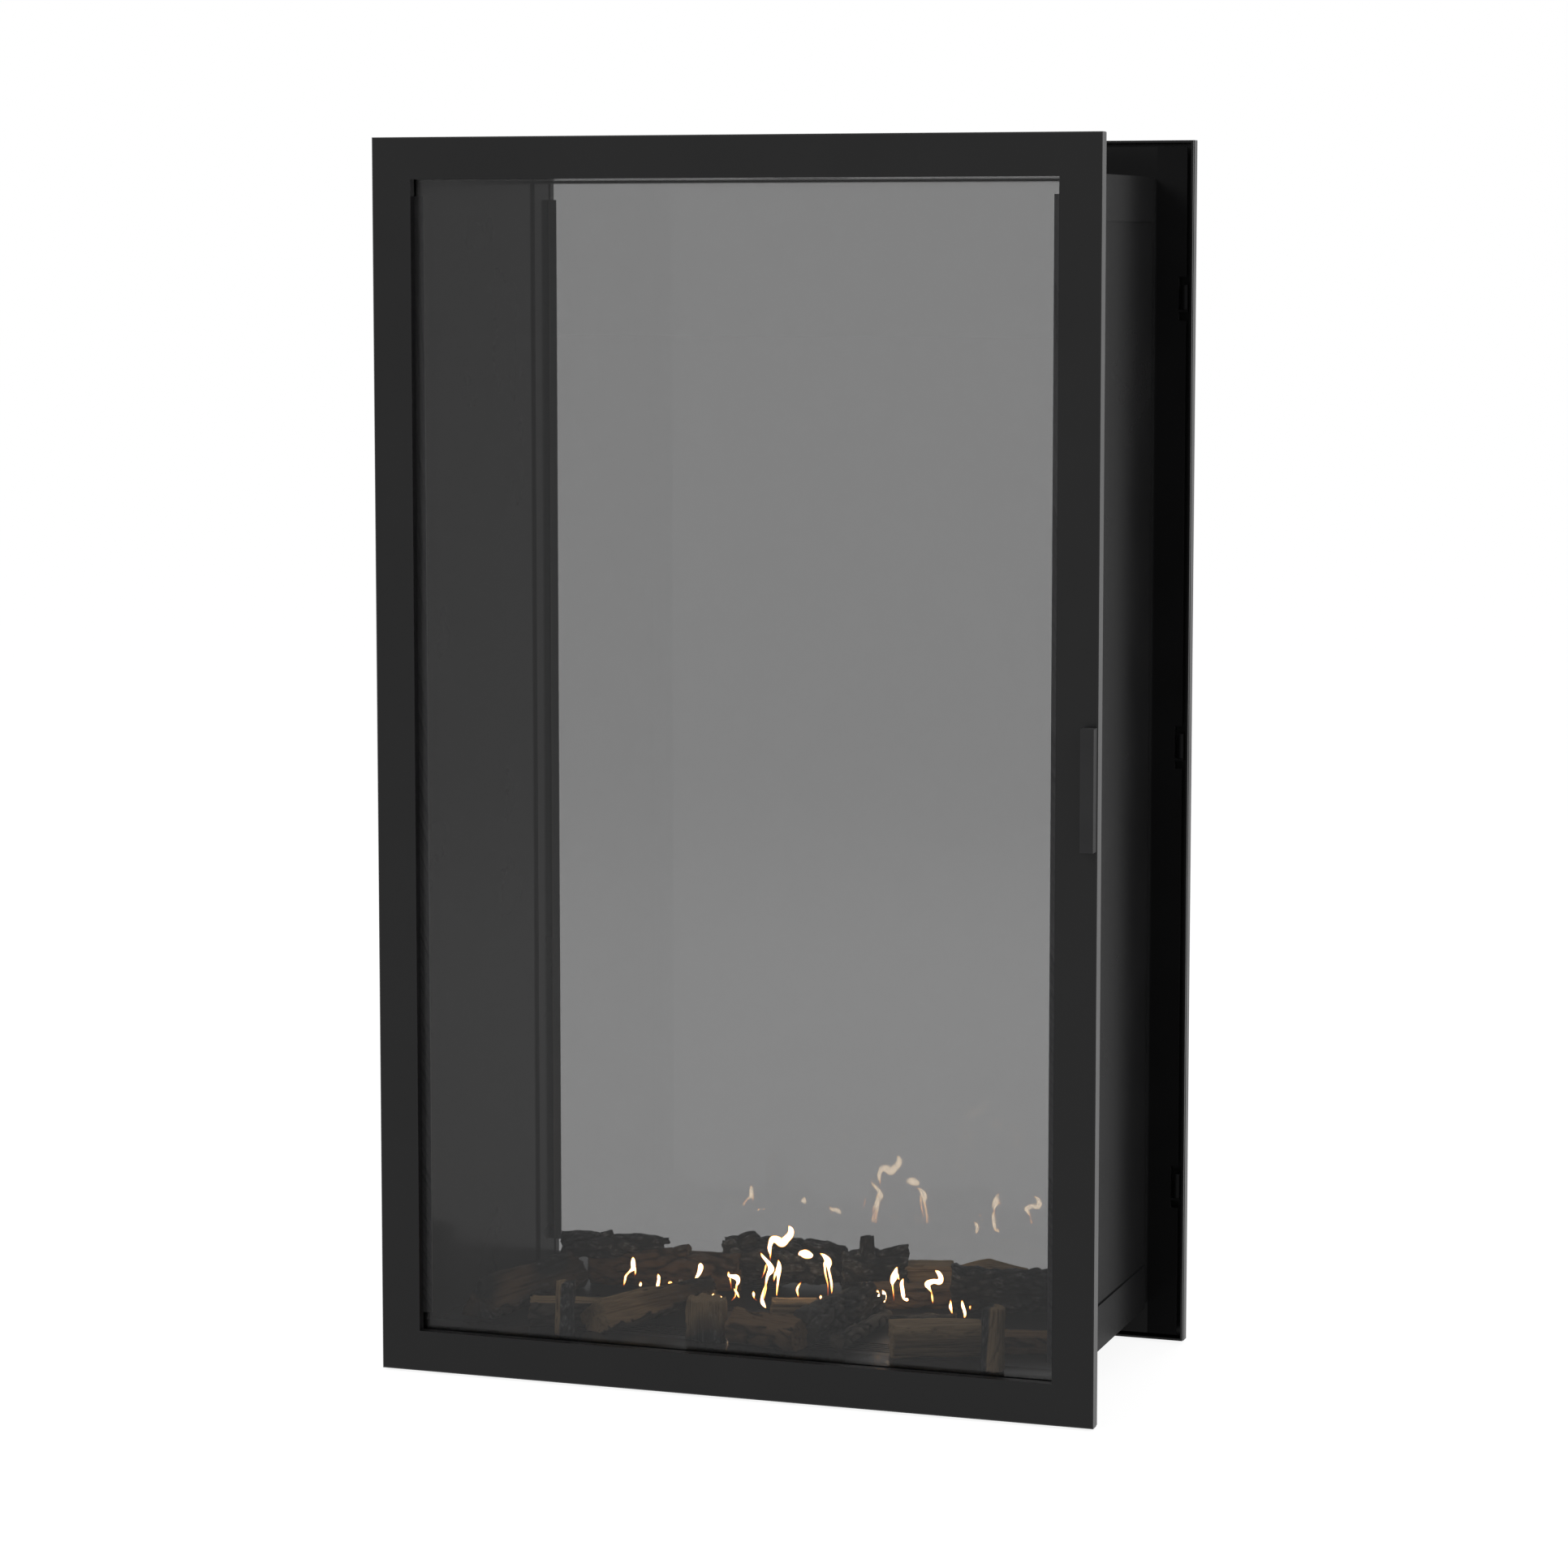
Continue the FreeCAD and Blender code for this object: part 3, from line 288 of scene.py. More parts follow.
# Strands of the flames: port row (-1 front, 1 rear), then knots from the tip down: x, height above the
# burner and width of the strand, in millimetres
FLAMES = (
    (-1, ((-204, 59, 0.5), (-204, 55, 4.5), (-204, 50, 6.5), (-204, 44, 5.8), (-207, 41, 3.4),
         (-211, 37, 2.4), (-214, 33, 2.8), (-215, 28, 2.7), (-217, 20, 0.7))),
    (-1, ((-202, 47, 3.3), (-201, 40, 2.3), (-202, 34, 0.5))),
    (-1, ((-194, 28, 0.7), (-194, 25, 3.3), (-195, 22, 3.6))),
    (1, ((-179, 34, 1.3), (-178, 30, 4.0), (-178, 26, 3.8), (-179, 21, 4.5), (-181, 16, 1.3))),
    (1, ((-178, 22, 2.2), (-177, 17, 2.0), (-174, 14, 0.9))),
    (-1, ((-157, 28, 1.4), (-156, 29, 2.3), (-154, 30, 2.3), (-151, 28, 1.8), (-150, 25, 1.4),
         (-148, 20, 0.7))),
    (1, ((-123, 52, 1.1), (-122, 49, 6.3), (-122, 45, 7.0), (-124, 39, 5.2), (-127, 34, 3.6),
         (-130, 30, 1.3), (-132, 27, 0.5))),
    (-1, ((-97, 20, 1.3), (-97, 17, 4.5), (-96, 13, 4.7), (-95, 10, 3.1), (-93, 7, 0.7))),
    (1, ((-95, 12, 1.1), (-95, 10, 4.1), (-94, 7, 2.2), (-91, 3, 0.7))),
    (1, ((-85, 44, 1.2), (-84, 39, 3.9), (-80, 38, 5.1), (-74, 37, 7.6), (-72, 32, 4.9), (-74, 27, 2.5),
         (-75, 20, 2.1), (-76, 13, 1.6), (-81, 7, 0.8))),
    (1, ((-83, 36, 2.5), (-82, 31, 1.6), (-81, 21, 0.5))),
    (-1, ((-70, 28, 2.0), (-66, 23, 3.1), (-63, 17, 1.6))),
    (-1, ((-44, 27, 1.2), (-44, 23, 3.5), (-43, 18, 1.2), (-39, 15, 0.5))),
    (-1, ((-35, 77, 0.8), (-32, 72, 3.3), (-27, 67, 4.5), (-23, 62, 6.5), (-21, 56, 8.6), (-25, 49, 4.5),
         (-27, 42, 3.3), (-28, 36, 2.2), (-31, 28, 2.5), (-33, 19, 3.7), (-32, 13, 5.3), (-28, 7, 2.2))),
    (-1, ((-27, 37, 1.4), (-28, 30, 2.0), (-30, 22, 1.8), (-31, 16, 1.0))),
    (1, ((-35, 57, 2.1), (-37, 48, 1.8), (-41, 38, 0.5))),
    (1, ((-19, 64, 1.2), (-18, 56, 5.9), (-19, 49, 7.6), (-19, 41, 3.7), (-20, 31, 2.7), (-21, 22, 1.8),
         (-21, 18, 1.4))),
    (1, ((-22, 49, 3.5), (-24, 42, 2.5), (-25, 35, 0.8))),
    (-1, ((2, 113, 1.4), (5, 108, 7.1), (4, 102, 8.6), (-1, 96, 9.4), (-7, 91, 11.4), (-13, 94, 10.2),
         (-19, 94, 8.6), (-22, 88, 5.7), (-23, 82, 5.1), (-22, 75, 2.2), (-22, 67, 0.7))),
    (-1, ((15, 77, 1.4), (18, 79, 7.1), (24, 79, 11.4), (30, 78, 8.6), (34, 78, 2.0))),
    (1, ((35, 76, 0.8), (40, 74, 3.7), (45, 69, 8.6), (47, 64, 8.6), (47, 57, 3.5), (49, 48, 3.3),
         (51, 37, 2.9), (51, 26, 1.2))),
    (1, ((42, 66, 3.7), (42, 60, 3.1), (43, 50, 2.5), (46, 37, 1.5), (46, 22, 0.6))),
    (-1, ((19, 44, 0.5), (15, 38, 2.7), (13, 33, 2.8), (14, 28, 2.2), (15, 23, 0.6))),
    (-1, ((44, 29, 0.8), (44, 26, 3.3), (44, 23, 1.0))),
    (-1, ((117, 41, 1.0), (118, 37, 4.3), (118, 31, 4.7), (116, 25, 3.6))),
    (1, ((116, 36, 1.2), (119, 32, 4.7), (120, 27, 4.9), (119, 22, 3.7), (118, 20, 1.8))),
    (-1, ((143, 72, 1.0), (141, 66, 5.3), (139, 59, 8.9), (137, 53, 6.1), (137, 48, 2.4), (138, 39, 1.6),
         (139, 29, 0.8))),
    (-1, ((143, 64, 3.0), (144, 59, 2.8), (146, 55, 0.8))),
    (1, ((144, 52, 1.8), (142, 46, 4.5), (143, 38, 5.1), (144, 31, 4.9), (145, 27, 3.0), (149, 26, 4.3),
         (151, 26, 1.2))),
    (-1, ((191, 71, 0.8), (196, 68, 5.0), (199, 62, 6.7), (197, 57, 7.3), (189, 57, 5.9), (182, 53, 7.9),
         (184, 48, 4.0), (187, 43, 1.5), (188, 37, 2.4), (189, 29, 1.0))),
    (1, ((205, 31, 0.6), (205, 26, 2.6), (205, 21, 4.2), (206, 17, 2.6), (208, 11, 0.5))),
    (-1, ((226, 36, 1.6), (227, 30, 4.0), (229, 24, 4.0), (230, 19, 3.4), (229, 14, 1.0))),
    (1, ((231, 25, 0.8), (230, 23, 2.0), (230, 19, 0.6))),
)
MILLIMETRE = 0.001
FLAME_ROW_GAP = 11.0
FLAME_STEPS = 6
FLAME_ROUND = 14
FLAME_FLATNESS = 0.6
COOL_WIDTH = 0.9
HOT_WIDTH = 5.0
THINNEST = 0.25
TIP_STEPS = 3
TIP_START = 0.05
CORE_SHARE = 0.80
CORE_STRENGTH = 30.0
VEIL_STRENGTH = 7.0
# Colours from the coolest to the hottest part of a flame, and how solid each part is
CORE_COLOURS = (
    (0.0, (0.25, 0.05, 0.01)), (0.35, (0.75, 0.32, 0.08)), (0.7, (1.0, 0.72, 0.34)),
    (1.0, (1.0, 0.86, 0.58)))
VEIL_COLOURS = ((0.0, (0.30, 0.045, 0.008)), (0.4, (0.75, 0.20, 0.03)), (1.0, (1.0, 0.42, 0.09)))
CORE_SOLID = ((0.08, 0.0), (0.30, 0.7), (0.55, 1.0))
VEIL_SOLID = ((0.0, 0.30), (0.5, 0.55))


class Graph:
    """Shorthand for the nodes of one material."""

    def __init__(self, name, material=None):
        self.material = material or bpy.data.materials.new(name)
        self.material.use_nodes = True
        self.tree = self.material.node_tree
        self.shader = self.tree.nodes["Principled BSDF"]

    def feed(self, socket, value):
        if isinstance(value, bpy.types.NodeSocket):
            self.tree.links.new(value, socket)
        else:
            socket.default_value = value

    def node(self, kind, inputs, **settings):
        item = self.tree.nodes.new(kind)
        for key, value in settings.items():
            setattr(item, key, value)
        for key, value in inputs.items():
            self.feed(item.inputs[key], value)
        return item

    def surface(self, **inputs):
        """Set inputs of the surface shader; underscores stand for spaces."""
        for key, value in inputs.items():
            self.feed(self.shader.inputs[key.replace("_", " ")], value)

    def object_place(self):
        return self.node("ShaderNodeTexCoord", {}).outputs["Object"]

    def stretched(self, vector, scale):
        return self.node("ShaderNodeMapping", {"Vector": vector, "Scale": scale}).outputs["Vector"]

    def noise(self, vector, scale, detail=3.0, rough=0.55, distortion=0.0):
        settings = {"Vector": vector, "Scale": scale, "Detail": detail, "Roughness": rough,
                    "Distortion": distortion}
        return self.node("ShaderNodeTexNoise", settings).outputs["Fac"]

    def pattern(self, vector, scale, *settings):
        """Noise that is stretched along one direction."""
        return self.noise(self.stretched(vector, scale), 1.0, *settings)

    def attribute(self, name, output):
        return self.node("ShaderNodeAttribute", {}, attribute_name=name).outputs[output]

    def ramp(self, value, stops):
        """A colour ramp from (place, colour) stops."""
        item = self.node("ShaderNodeValToRGB", {"Fac": value})
        elements = item.color_ramp.elements
        while len(elements) < len(stops):
            elements.new(0.5)
        for element, (at, colour) in zip(elements, stops):
            element.position = at
            element.color = (*colour, 1.0)
        return item.outputs["Color"]

    def remap(self, value, low, high):
        """Spread a value of 0 to 1 between two numbers."""
        settings = {"Value": value, "To Min": low, "To Max": high}
        return self.node("ShaderNodeMapRange", settings).outputs["Result"]

    def mix(self, factor, first, second):
        item = self.node("ShaderNodeMix", {}, data_type="RGBA")
        self.feed(item.inputs["Factor"], factor)
        self.feed(item.inputs[6], first)
        self.feed(item.inputs[7], second)
        return item.outputs[2]

    def math(self, operation, first, second):
        item = self.node("ShaderNodeMath", {}, operation=operation)
        self.feed(item.inputs[0], first)
        self.feed(item.inputs[1], second)
        return item.outputs[0]

    def blend(self, first, second, share):
        """A share of the first value and the rest of the second."""
        rest = self.math("MULTIPLY", second, 1 - share)
        return self.math("ADD", self.math("MULTIPLY", first, share), rest)

    def bump(self, height, distance, normal=None):
        item = self.node("ShaderNodeBump", {"Height": height, "Distance": distance, "Strength": 1.0})
        if normal is not None:
            self.feed(item.inputs["Normal"], normal)
        return item.outputs["Normal"]


def grey(level):
    return (level, level, level * 1.02)


def mean(first, second):
    return tuple((a + b) / 2 for a, b in zip(first, second))


def paint(name, level, roughness, gloss):
    """Powder-coated steel: a fine orange-peel grain and a slow drift of shade and gloss."""
    graph = Graph(name)
    place = graph.object_place()
    drift = graph.noise(place, DRIFT_WAVES, 4.0)
    grain = graph.noise(place, PEEL_WAVES, 2.0)
    darker, lighter = grey(level * (1 - SHADE_DRIFT)), grey(level * (1 + SHADE_DRIFT))
    graph.surface(Base_Color=graph.ramp(drift, ((0.25, darker), (0.75, lighter))), Specular_IOR_Level=gloss)
    graph.surface(Roughness=graph.remap(drift, roughness - ROUGHNESS_DRIFT, roughness + ROUGHNESS_DRIFT))
    graph.surface(Normal=graph.bump(grain, PEEL_DEPTH))
    return graph.material


def shell(name, level, roughness, gloss):
    """Black stove paint that the heat has left glossier between the side walls."""
    material = paint(name, level, roughness, gloss)
    graph = Graph(name, material)
    across = graph.node("ShaderNodeSeparateXYZ", {"Vector": graph.object_place()}).outputs["X"]
    outer_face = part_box("right_side_wall")[1].x
    inside = graph.math("LESS_THAN", graph.math("ABSOLUTE", across, 0.0), outer_face - SHEET_MARGIN)
    graph.surface(Coat_Weight=inside, Coat_IOR=INSIDE_COAT_IOR, Coat_Roughness=INSIDE_COAT_ROUGHNESS)
    return material


def metal(name, colour, roughness, brush_scale):
    """Plated or drawn metal with a fine brushed grain."""
    graph = Graph(name)
    place = graph.object_place()
    brushed = graph.pattern(place, brush_scale, 3.0)
    spots = graph.noise(place, SPOT_WAVES, 4.0)
    dull = tuple(part * SPOT_SHADE for part in colour)
    graph.surface(Base_Color=graph.ramp(spots, ((0.35, dull), (0.65, colour))), Metallic=1.0)
    graph.surface(Roughness=graph.remap(brushed, roughness - BRUSH_GLOSSIER, roughness + BRUSH_DULLER))
    graph.surface(Normal=graph.bump(brushed, BRUSH_DEPTH))
    return graph.material


def tinted_glass(name):
    """Grey ceramic glass whose faces towards the fire carry a faint heat mirror."""
    graph = Graph(name)
    place = graph.object_place()
    smear = graph.noise(place, SMEAR_WAVES, 5.0)
    depth = graph.node("ShaderNodeSeparateXYZ", {"Vector": place}).outputs["Y"]
    low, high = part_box("rear_door_glass")
    inside = graph.math("LESS_THAN", graph.math("ABSOLUTE", depth, 0.0), (low.y + high.y) / 2)
    graph.surface(Base_Color=(GLASS_SHADE, GLASS_SHADE, GLASS_SHADE, 1.0), IOR=GLASS_IOR, Alpha=GLASS_TINT)
    graph.surface(Roughness=graph.remap(smear, *SMEAR_ROUGHNESS))
    graph.surface(Coat_Weight=inside, Coat_IOR=MIRROR_IOR, Coat_Roughness=MIRROR_ROUGHNESS)
    return graph.material


def woven(name):
    """Braided glass-fibre: crossing yarns with loose fibres."""
    graph = Graph(name)
    place = graph.object_place()
    yarns = graph.node("ShaderNodeTexChecker", {"Vector": place, "Scale": YARN_WAVES}).outputs["Fac"]
    fibres = graph.noise(place, LOOSE_WAVES, 4.0)
    colour = graph.ramp(fibres, ((0.3, grey(FIBRE_SHADE * 0.5)), (0.7, grey(FIBRE_SHADE * 1.6))))
    graph.surface(Base_Color=colour, Roughness=0.9, Specular_IOR_Level=0.2)
    graph.surface(Normal=graph.bump(graph.math("ADD", yarns, fibres), YARN_DEPTH))
    return graph.material


def log_material(name, bark_dark, bark_light, wood_dark, wood_light):
    """Moulded ceramic wood: grain on split faces, furrowed bark, and ash-flecked char."""
    graph = Graph(name)
    grain = graph.attribute("grain", "Vector")
    bark = graph.attribute("bark", "Fac")
    char = graph.attribute("char", "Fac")
    relief = graph.attribute("relief", "Fac")
    fibres = graph.pattern(grain, *FIBRE_PATTERN)
    bands = graph.pattern(grain, *BAND_PATTERN)
    streaks = graph.blend(fibres, bands, 0.55)
    wood = graph.ramp(streaks, ((0.38, wood_dark), (0.50, wood_light), (0.66, wood_dark)))
    plates = graph.pattern(grain, *PLATE_PATTERN)
    worn = graph.blend(plates, relief, 0.55)
    skin = graph.ramp(worn, ((0.34, bark_dark), (0.52, mean(bark_dark, bark_light)), (0.68, bark_light)))
    ash = graph.pattern(grain, *ASH_PATTERN)
    burnt = graph.ramp(graph.blend(ash, relief, 0.7), CHAR_STOPS)
    unburnt = graph.mix(bark, wood, skin)
    graph.surface(Base_Color=graph.mix(char, unburnt, burnt), Specular_IOR_Level=LOG_GLOSS)
    graph.surface(Roughness=graph.remap(ash, *LOG_ROUGHNESS))
    fine = graph.bump(fibres, FIBRE_DEPTH)
    graph.surface(Normal=graph.bump(graph.math("MULTIPLY", plates, bark), PLATE_DEPTH, fine))
    return graph.material


def flame_material(name, colours, strength, solid):
    """Glowing gas, coloured and faded by how hot each part of a flame is."""
    graph = Graph(name)
    glow = graph.attribute("glow", "Fac")
    graph.surface(Base_Color=(0.0, 0.0, 0.0, 1.0), Roughness=1.0, Specular_IOR_Level=0.0)
    graph.surface(Emission_Color=graph.ramp(glow, colours), Emission_Strength=strength)
    fade = graph.ramp(glow, tuple((at, (level, level, level)) for at, level in solid))
    graph.surface(Alpha=fade)
    return graph.material


def make_materials():
    """One material for each slot of the record."""
    materials = {slot: paint(slot, *values) for slot, values in PAINTS.items()}
    materials.update({slot: metal(slot, *values) for slot, values in METALS.items()})
    materials.update({slot: log_material(slot, *colours) for slot, colours in LOG_COLOURS.items()})
    materials["shell_paint"] = shell("shell_paint", *SHELL_PAINT)
    materials["tinted_glass"] = tinted_glass("tinted_glass")
    materials["glass_fibre"] = woven("glass_fibre")
    return materials


def new_piece(name, mesh, body, material):
    item = bpy.data.objects.new(name, mesh)
    bpy.context.scene.collection.objects.link(item)
    mesh.materials.append(material)
    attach(item, body)
    return item


def mesh_of(name, points, faces, attributes):
    """A smooth mesh with named point attributes."""
    mesh = bpy.data.meshes.new(name)
    mesh.from_pydata([tuple(point) for point in points], [], faces)
    for key, values in attributes.items():
        kind = "FLOAT_VECTOR" if np.ndim(values) == 2 else "FLOAT"
        field = mesh.attributes.new(key, kind, "POINT")
        channel = "vector" if kind == "FLOAT_VECTOR" else "value"
        field.data.foreach_set(channel, np.ravel(values).astype(np.float32))
    mesh.shade_smooth()
    mesh.update()
    return mesh


def tube_faces(rings, around, start=0):
    """Quads between rings of points, each ring closed."""
    faces = []
    for ring in range(rings - 1):
        for step in range(around):
            after = (step + 1) % around
            a = start + ring * around
            b = a + around
            faces.append((a + step, a + after, b + after, b + step))
    return faces


def waves(place, along, rates):
    """A place on a log, scaled for a noise that is finer across the log than along it."""
    across_rate, along_rate = rates
    return Vector((place.x * across_rate, place.y * across_rate, along * along_rate))


class LogBuilder:
    """Collects the points of the logs that share one node."""

    def __init__(self):
        self.points = []
        self.faces = []
        self.grain = []
        self.bark = []
        self.char = []
        self.relief = []
        self.bare = False
        self.char_side = 0.0

    def section(self, along, angle, row, seed):
        """Radius of the log at one place, how far it is bark there, and how high that bark stands."""
        length, near, far, splits, rough = row
        base = near + (far - near) * along / length
        swing = Vector((math.cos(angle) * base, math.sin(angle) * base, along))
        shift = Vector(seed * share for share in SEED_SHIFT)
        knots = noise.noise(swing * KNOT_WAVES + shift)
        lumps = LUMP_PART * noise.noise(swing * LUMP_WAVES + shift) + KNOT_PART * knots
        furrow = noise.noise(waves(swing, along, FURROW_WAVES) + shift)
        plate = min(1.0, abs(furrow) / FURROW_EDGE)
        fine = noise.fractal(waves(swing, along, FINE_WAVES) + shift, *GRAIN_LAYERS)
        relief = LUMP_SHARE * lumps + FURROW_SHARE * (plate - 1) + GRAIN_SHARE * fine
        radius = base * (1 + rough * relief)
        bark = 1.0
        rise = BARK_START + PLATE_PART * plate * plate + RISE_PART * lumps + GRAIN_PART * fine
        height = min(1.0, max(0.0, rise))
        for split_angle, share in splits:
            heading = math.radians(270 - split_angle)
            facing = math.cos(angle - heading)
            if facing <= LEAST_FACING:
                continue
            place = waves(swing, along, SPLINTER_WAVES) + shift
            steps = noise.fractal(place, *SPLINTER_LAYERS) * SPLINTER_DEPTH
            wave = noise.noise(Vector((seed, 0, along * BEND_WAVES))) * SPLINTER_DEPTH
            reach = (share * near + steps + wave) / facing
            if reach < radius:
                radius = reach
                bark = 0.0
                height = min(1.0, max(0.0, 0.5 + 0.5 * steps / SPLINTER_DEPTH))
        return radius, bark, height

    def add(self, name, seed, rough):
        start_share, turn, rise, length, near, far, splits = LOG_SHARES[name]
        start = Vector(share * size for share, size in zip(start_share, LOG_FIELD))
        start.z += HEARTH_TOP
        row = (length * LOG_SCALE, near * LOG_SCALE, far * LOG_SCALE, splits, rough)
        self.bare = name in BARE_LOGS
        self.char_side = CHAR_SIDE_SHARES.get(name, 0.0)
        lie = Matrix.Rotation(math.radians(turn), 3, "Z") @ Matrix.Rotation(math.radians(90 - rise), 3, "Y")
        self.tube(start, lie, row, CHAR_SHARES[name], seed, PEAK_FALL_SHARE if name == PEAKED_LOG else 0.0)
        for log, place, lift, stub_rise, stub_length, stub_radius in STUBS:
            if log != name:
                continue
            radius = row[1] + (row[2] - row[1]) * place
            foot = start + lie @ Vector((-radius * lift, 0, row[0] * place))
            foot_radius = radius * stub_radius
            stub_row = (radius * stub_length, foot_radius, foot_radius * STUB_TAPER, (), rough)
            outward = lie @ Matrix.Rotation(math.radians(-stub_rise), 3, "Y")
            self.tube(foot, outward, stub_row, CHAR_SHARES[name], seed + stub_rise, 0.0)

    def tube(self, start, lie, row, char_shares, seed, fall):
        length = row[0]
        rings = max(LEAST_RINGS, round(length / RING_STEP))
        ends = [(0.0, s / CAP_RINGS) for s in range(1, CAP_RINGS)]
        ends += [(i / (rings - 1), 1.0) for i in range(rings)]
        ends += [(1.0, 1 - s / CAP_RINGS) for s in range(1, CAP_RINGS)]
        first = len(self.points)
        for share, inward in ends:
            for step in range(ROUND_STEPS):
                angle = 2 * math.pi * step / ROUND_STEPS
                radius, bark, height = self.section(share * length, angle, row, seed)
                local = Vector((math.cos(angle) * radius * inward, math.sin(angle) * radius * inward, 0))
                if local.x < 0:
                    local.x *= 1 - fall * abs(2 * share - 1)
                tear = Vector((local.x * TORN_WAVES, local.y * TORN_WAVES, seed + share * TORN_APART))
                torn = noise.fractal(tear, *TORN_LAYERS)
                edge = max(0.0, 1 - min(share, 1 - share) * length / TORN_REACH)
                local.z = share * length + END_DEPTH * torn * edge
                point = start + lie @ local
                point.z = max(point.z, HEARTH_TOP + HEARTH_CLEARANCE)
                self.points.append(point)
                self.grain.append((local.x + seed, local.y + seed * GRAIN_SHIFT, local.z))
                self.bark.append(0.0 if inward < 1.0 or self.bare else bark)
                self.relief.append(height)
                self.char.append(self.burnt(local, share, char_shares, seed))
        self.faces += tube_faces(len(ends), ROUND_STEPS, first)
        for ring, order in ((first, -1), (first + (len(ends) - 1) * ROUND_STEPS, 1)):
            self.faces.append(tuple(range(ring, ring + ROUND_STEPS))[::order])

    def burnt(self, local, share, char_shares, seed):
        """How charred the log is at one place."""
        level = char_shares[0] + (char_shares[1] - char_shares[0]) * share
        level += self.char_side * math.copysign(min(1.0, abs(local.x) / SIDE_BLEND), local.x)
        if level <= 0:
            return 0.0
        across, along = CHAR_WAVES
        place = Vector((local.x * across, local.y * across, local.z * along + seed * CHAR_SHIFT))
        patch = noise.noise(place)
        spread = (level - CHAR_MIDDLE) * CHAR_SPREAD + CHAR_MIDDLE + patch * CHAR_PATCHES
        return min(1.0, max(0.0, spread))

    def mesh(self, name):
        attributes = {
            "grain": np.array(self.grain), "bark": self.bark, "char": self.char, "relief": self.relief}
        return mesh_of(name, self.points, self.faces, attributes)


def add_logs(materials):
    """Detailed logs in place of the plain CAD ones."""
    grouped = {member: node for node, members in LOG_GROUPS.items() for member in members}
    builders = {}
    for index, name in enumerate(LOG_SHARES):
        node = grouped.get(name, name)
        rough = ROUGHNESS_SHARES[SLOT_OF[node]]
        seed = LOG_SEED_STEP * index + LOG_SEED_START
        builders.setdefault(node, LogBuilder()).add(name, seed, rough)
    for node, builder in builders.items():
        slot = SLOT_OF[node]
        piece = new_piece(node + "_moulded", builder.mesh(node), FIXED_BODY, materials[slot])
        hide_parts(node)


def smooth_path(knots):
    """Points along a smooth curve through the knots."""
    padded = (knots[0], *knots, knots[-1])
    path = []
    for corners in zip(padded, padded[1:], padded[2:], padded[3:]):
        for step in range(FLAME_STEPS):
            t = step / FLAME_STEPS
            path.append([
                b + ((c - a) * t + (2 * a - 5 * b + 4 * c - d) * t * t
                     + (3 * b - a - 3 * c + d) * t ** 3) / 2
                for a, b, c, d in zip(*corners)])
    path.append(list(knots[-1]))
    return path


def flame_strand(port_row, knots, width_share):
    """Rings of points down one strand of flame, and how hot each is: the wide parts are the hottest."""
    path = smooth_path(knots)
    last = len(path) - 1
    points = []
    glow = []
    for index, (x, height, width) in enumerate(path):
        before = path[max(0, index - 1)]
        after = path[min(last, index + 1)]
        run = Vector((after[0] - before[0], 0, after[1] - before[1])).normalized()
        side = Vector((-run.z, 0, run.x))
        rounded = math.sqrt(min(1.0, (min(index, last - index) + TIP_START) / TIP_STEPS))
        half = max(THINNEST, width * rounded) / 2 * width_share
        middle = Vector((x, port_row * FLAME_ROW_GAP, height))
        for step in range(FLAME_ROUND):
            angle = 2 * math.pi * step / FLAME_ROUND
            depth = Vector((0, half * FLAME_FLATNESS * math.sin(angle), 0))
            point = middle + side * (half * math.cos(angle)) + depth
            points.append(point * MILLIMETRE + Vector((0, 0, BURNER_TOP)))
        share = min(1.0, max(0.0, (width - COOL_WIDTH) / (HOT_WIDTH - COOL_WIDTH)))
        glow += [share] * FLAME_ROUND
    return points, glow, len(path)


def add_flames():
    """Flames over the burner's two rows of ports, each strand a bright core in a thin orange veil."""
    core = flame_material("flame_core", CORE_COLOURS, CORE_STRENGTH, CORE_SOLID)
    veil = flame_material("flame_veil", VEIL_COLOURS, VEIL_STRENGTH, VEIL_SOLID)
    for index, (port_row, knots) in enumerate(FLAMES, start=1):
        for label, material, width_share in (("veil", veil, 1.0), ("core", core, CORE_SHARE)):
            points, glow, rings = flame_strand(port_row, knots, width_share)
            mesh = mesh_of("flame", points, tube_faces(rings, FLAME_ROUND), {"glow": glow})
            new_piece("flame_%02d_%s" % (index, label), mesh, FIXED_BODY, material)


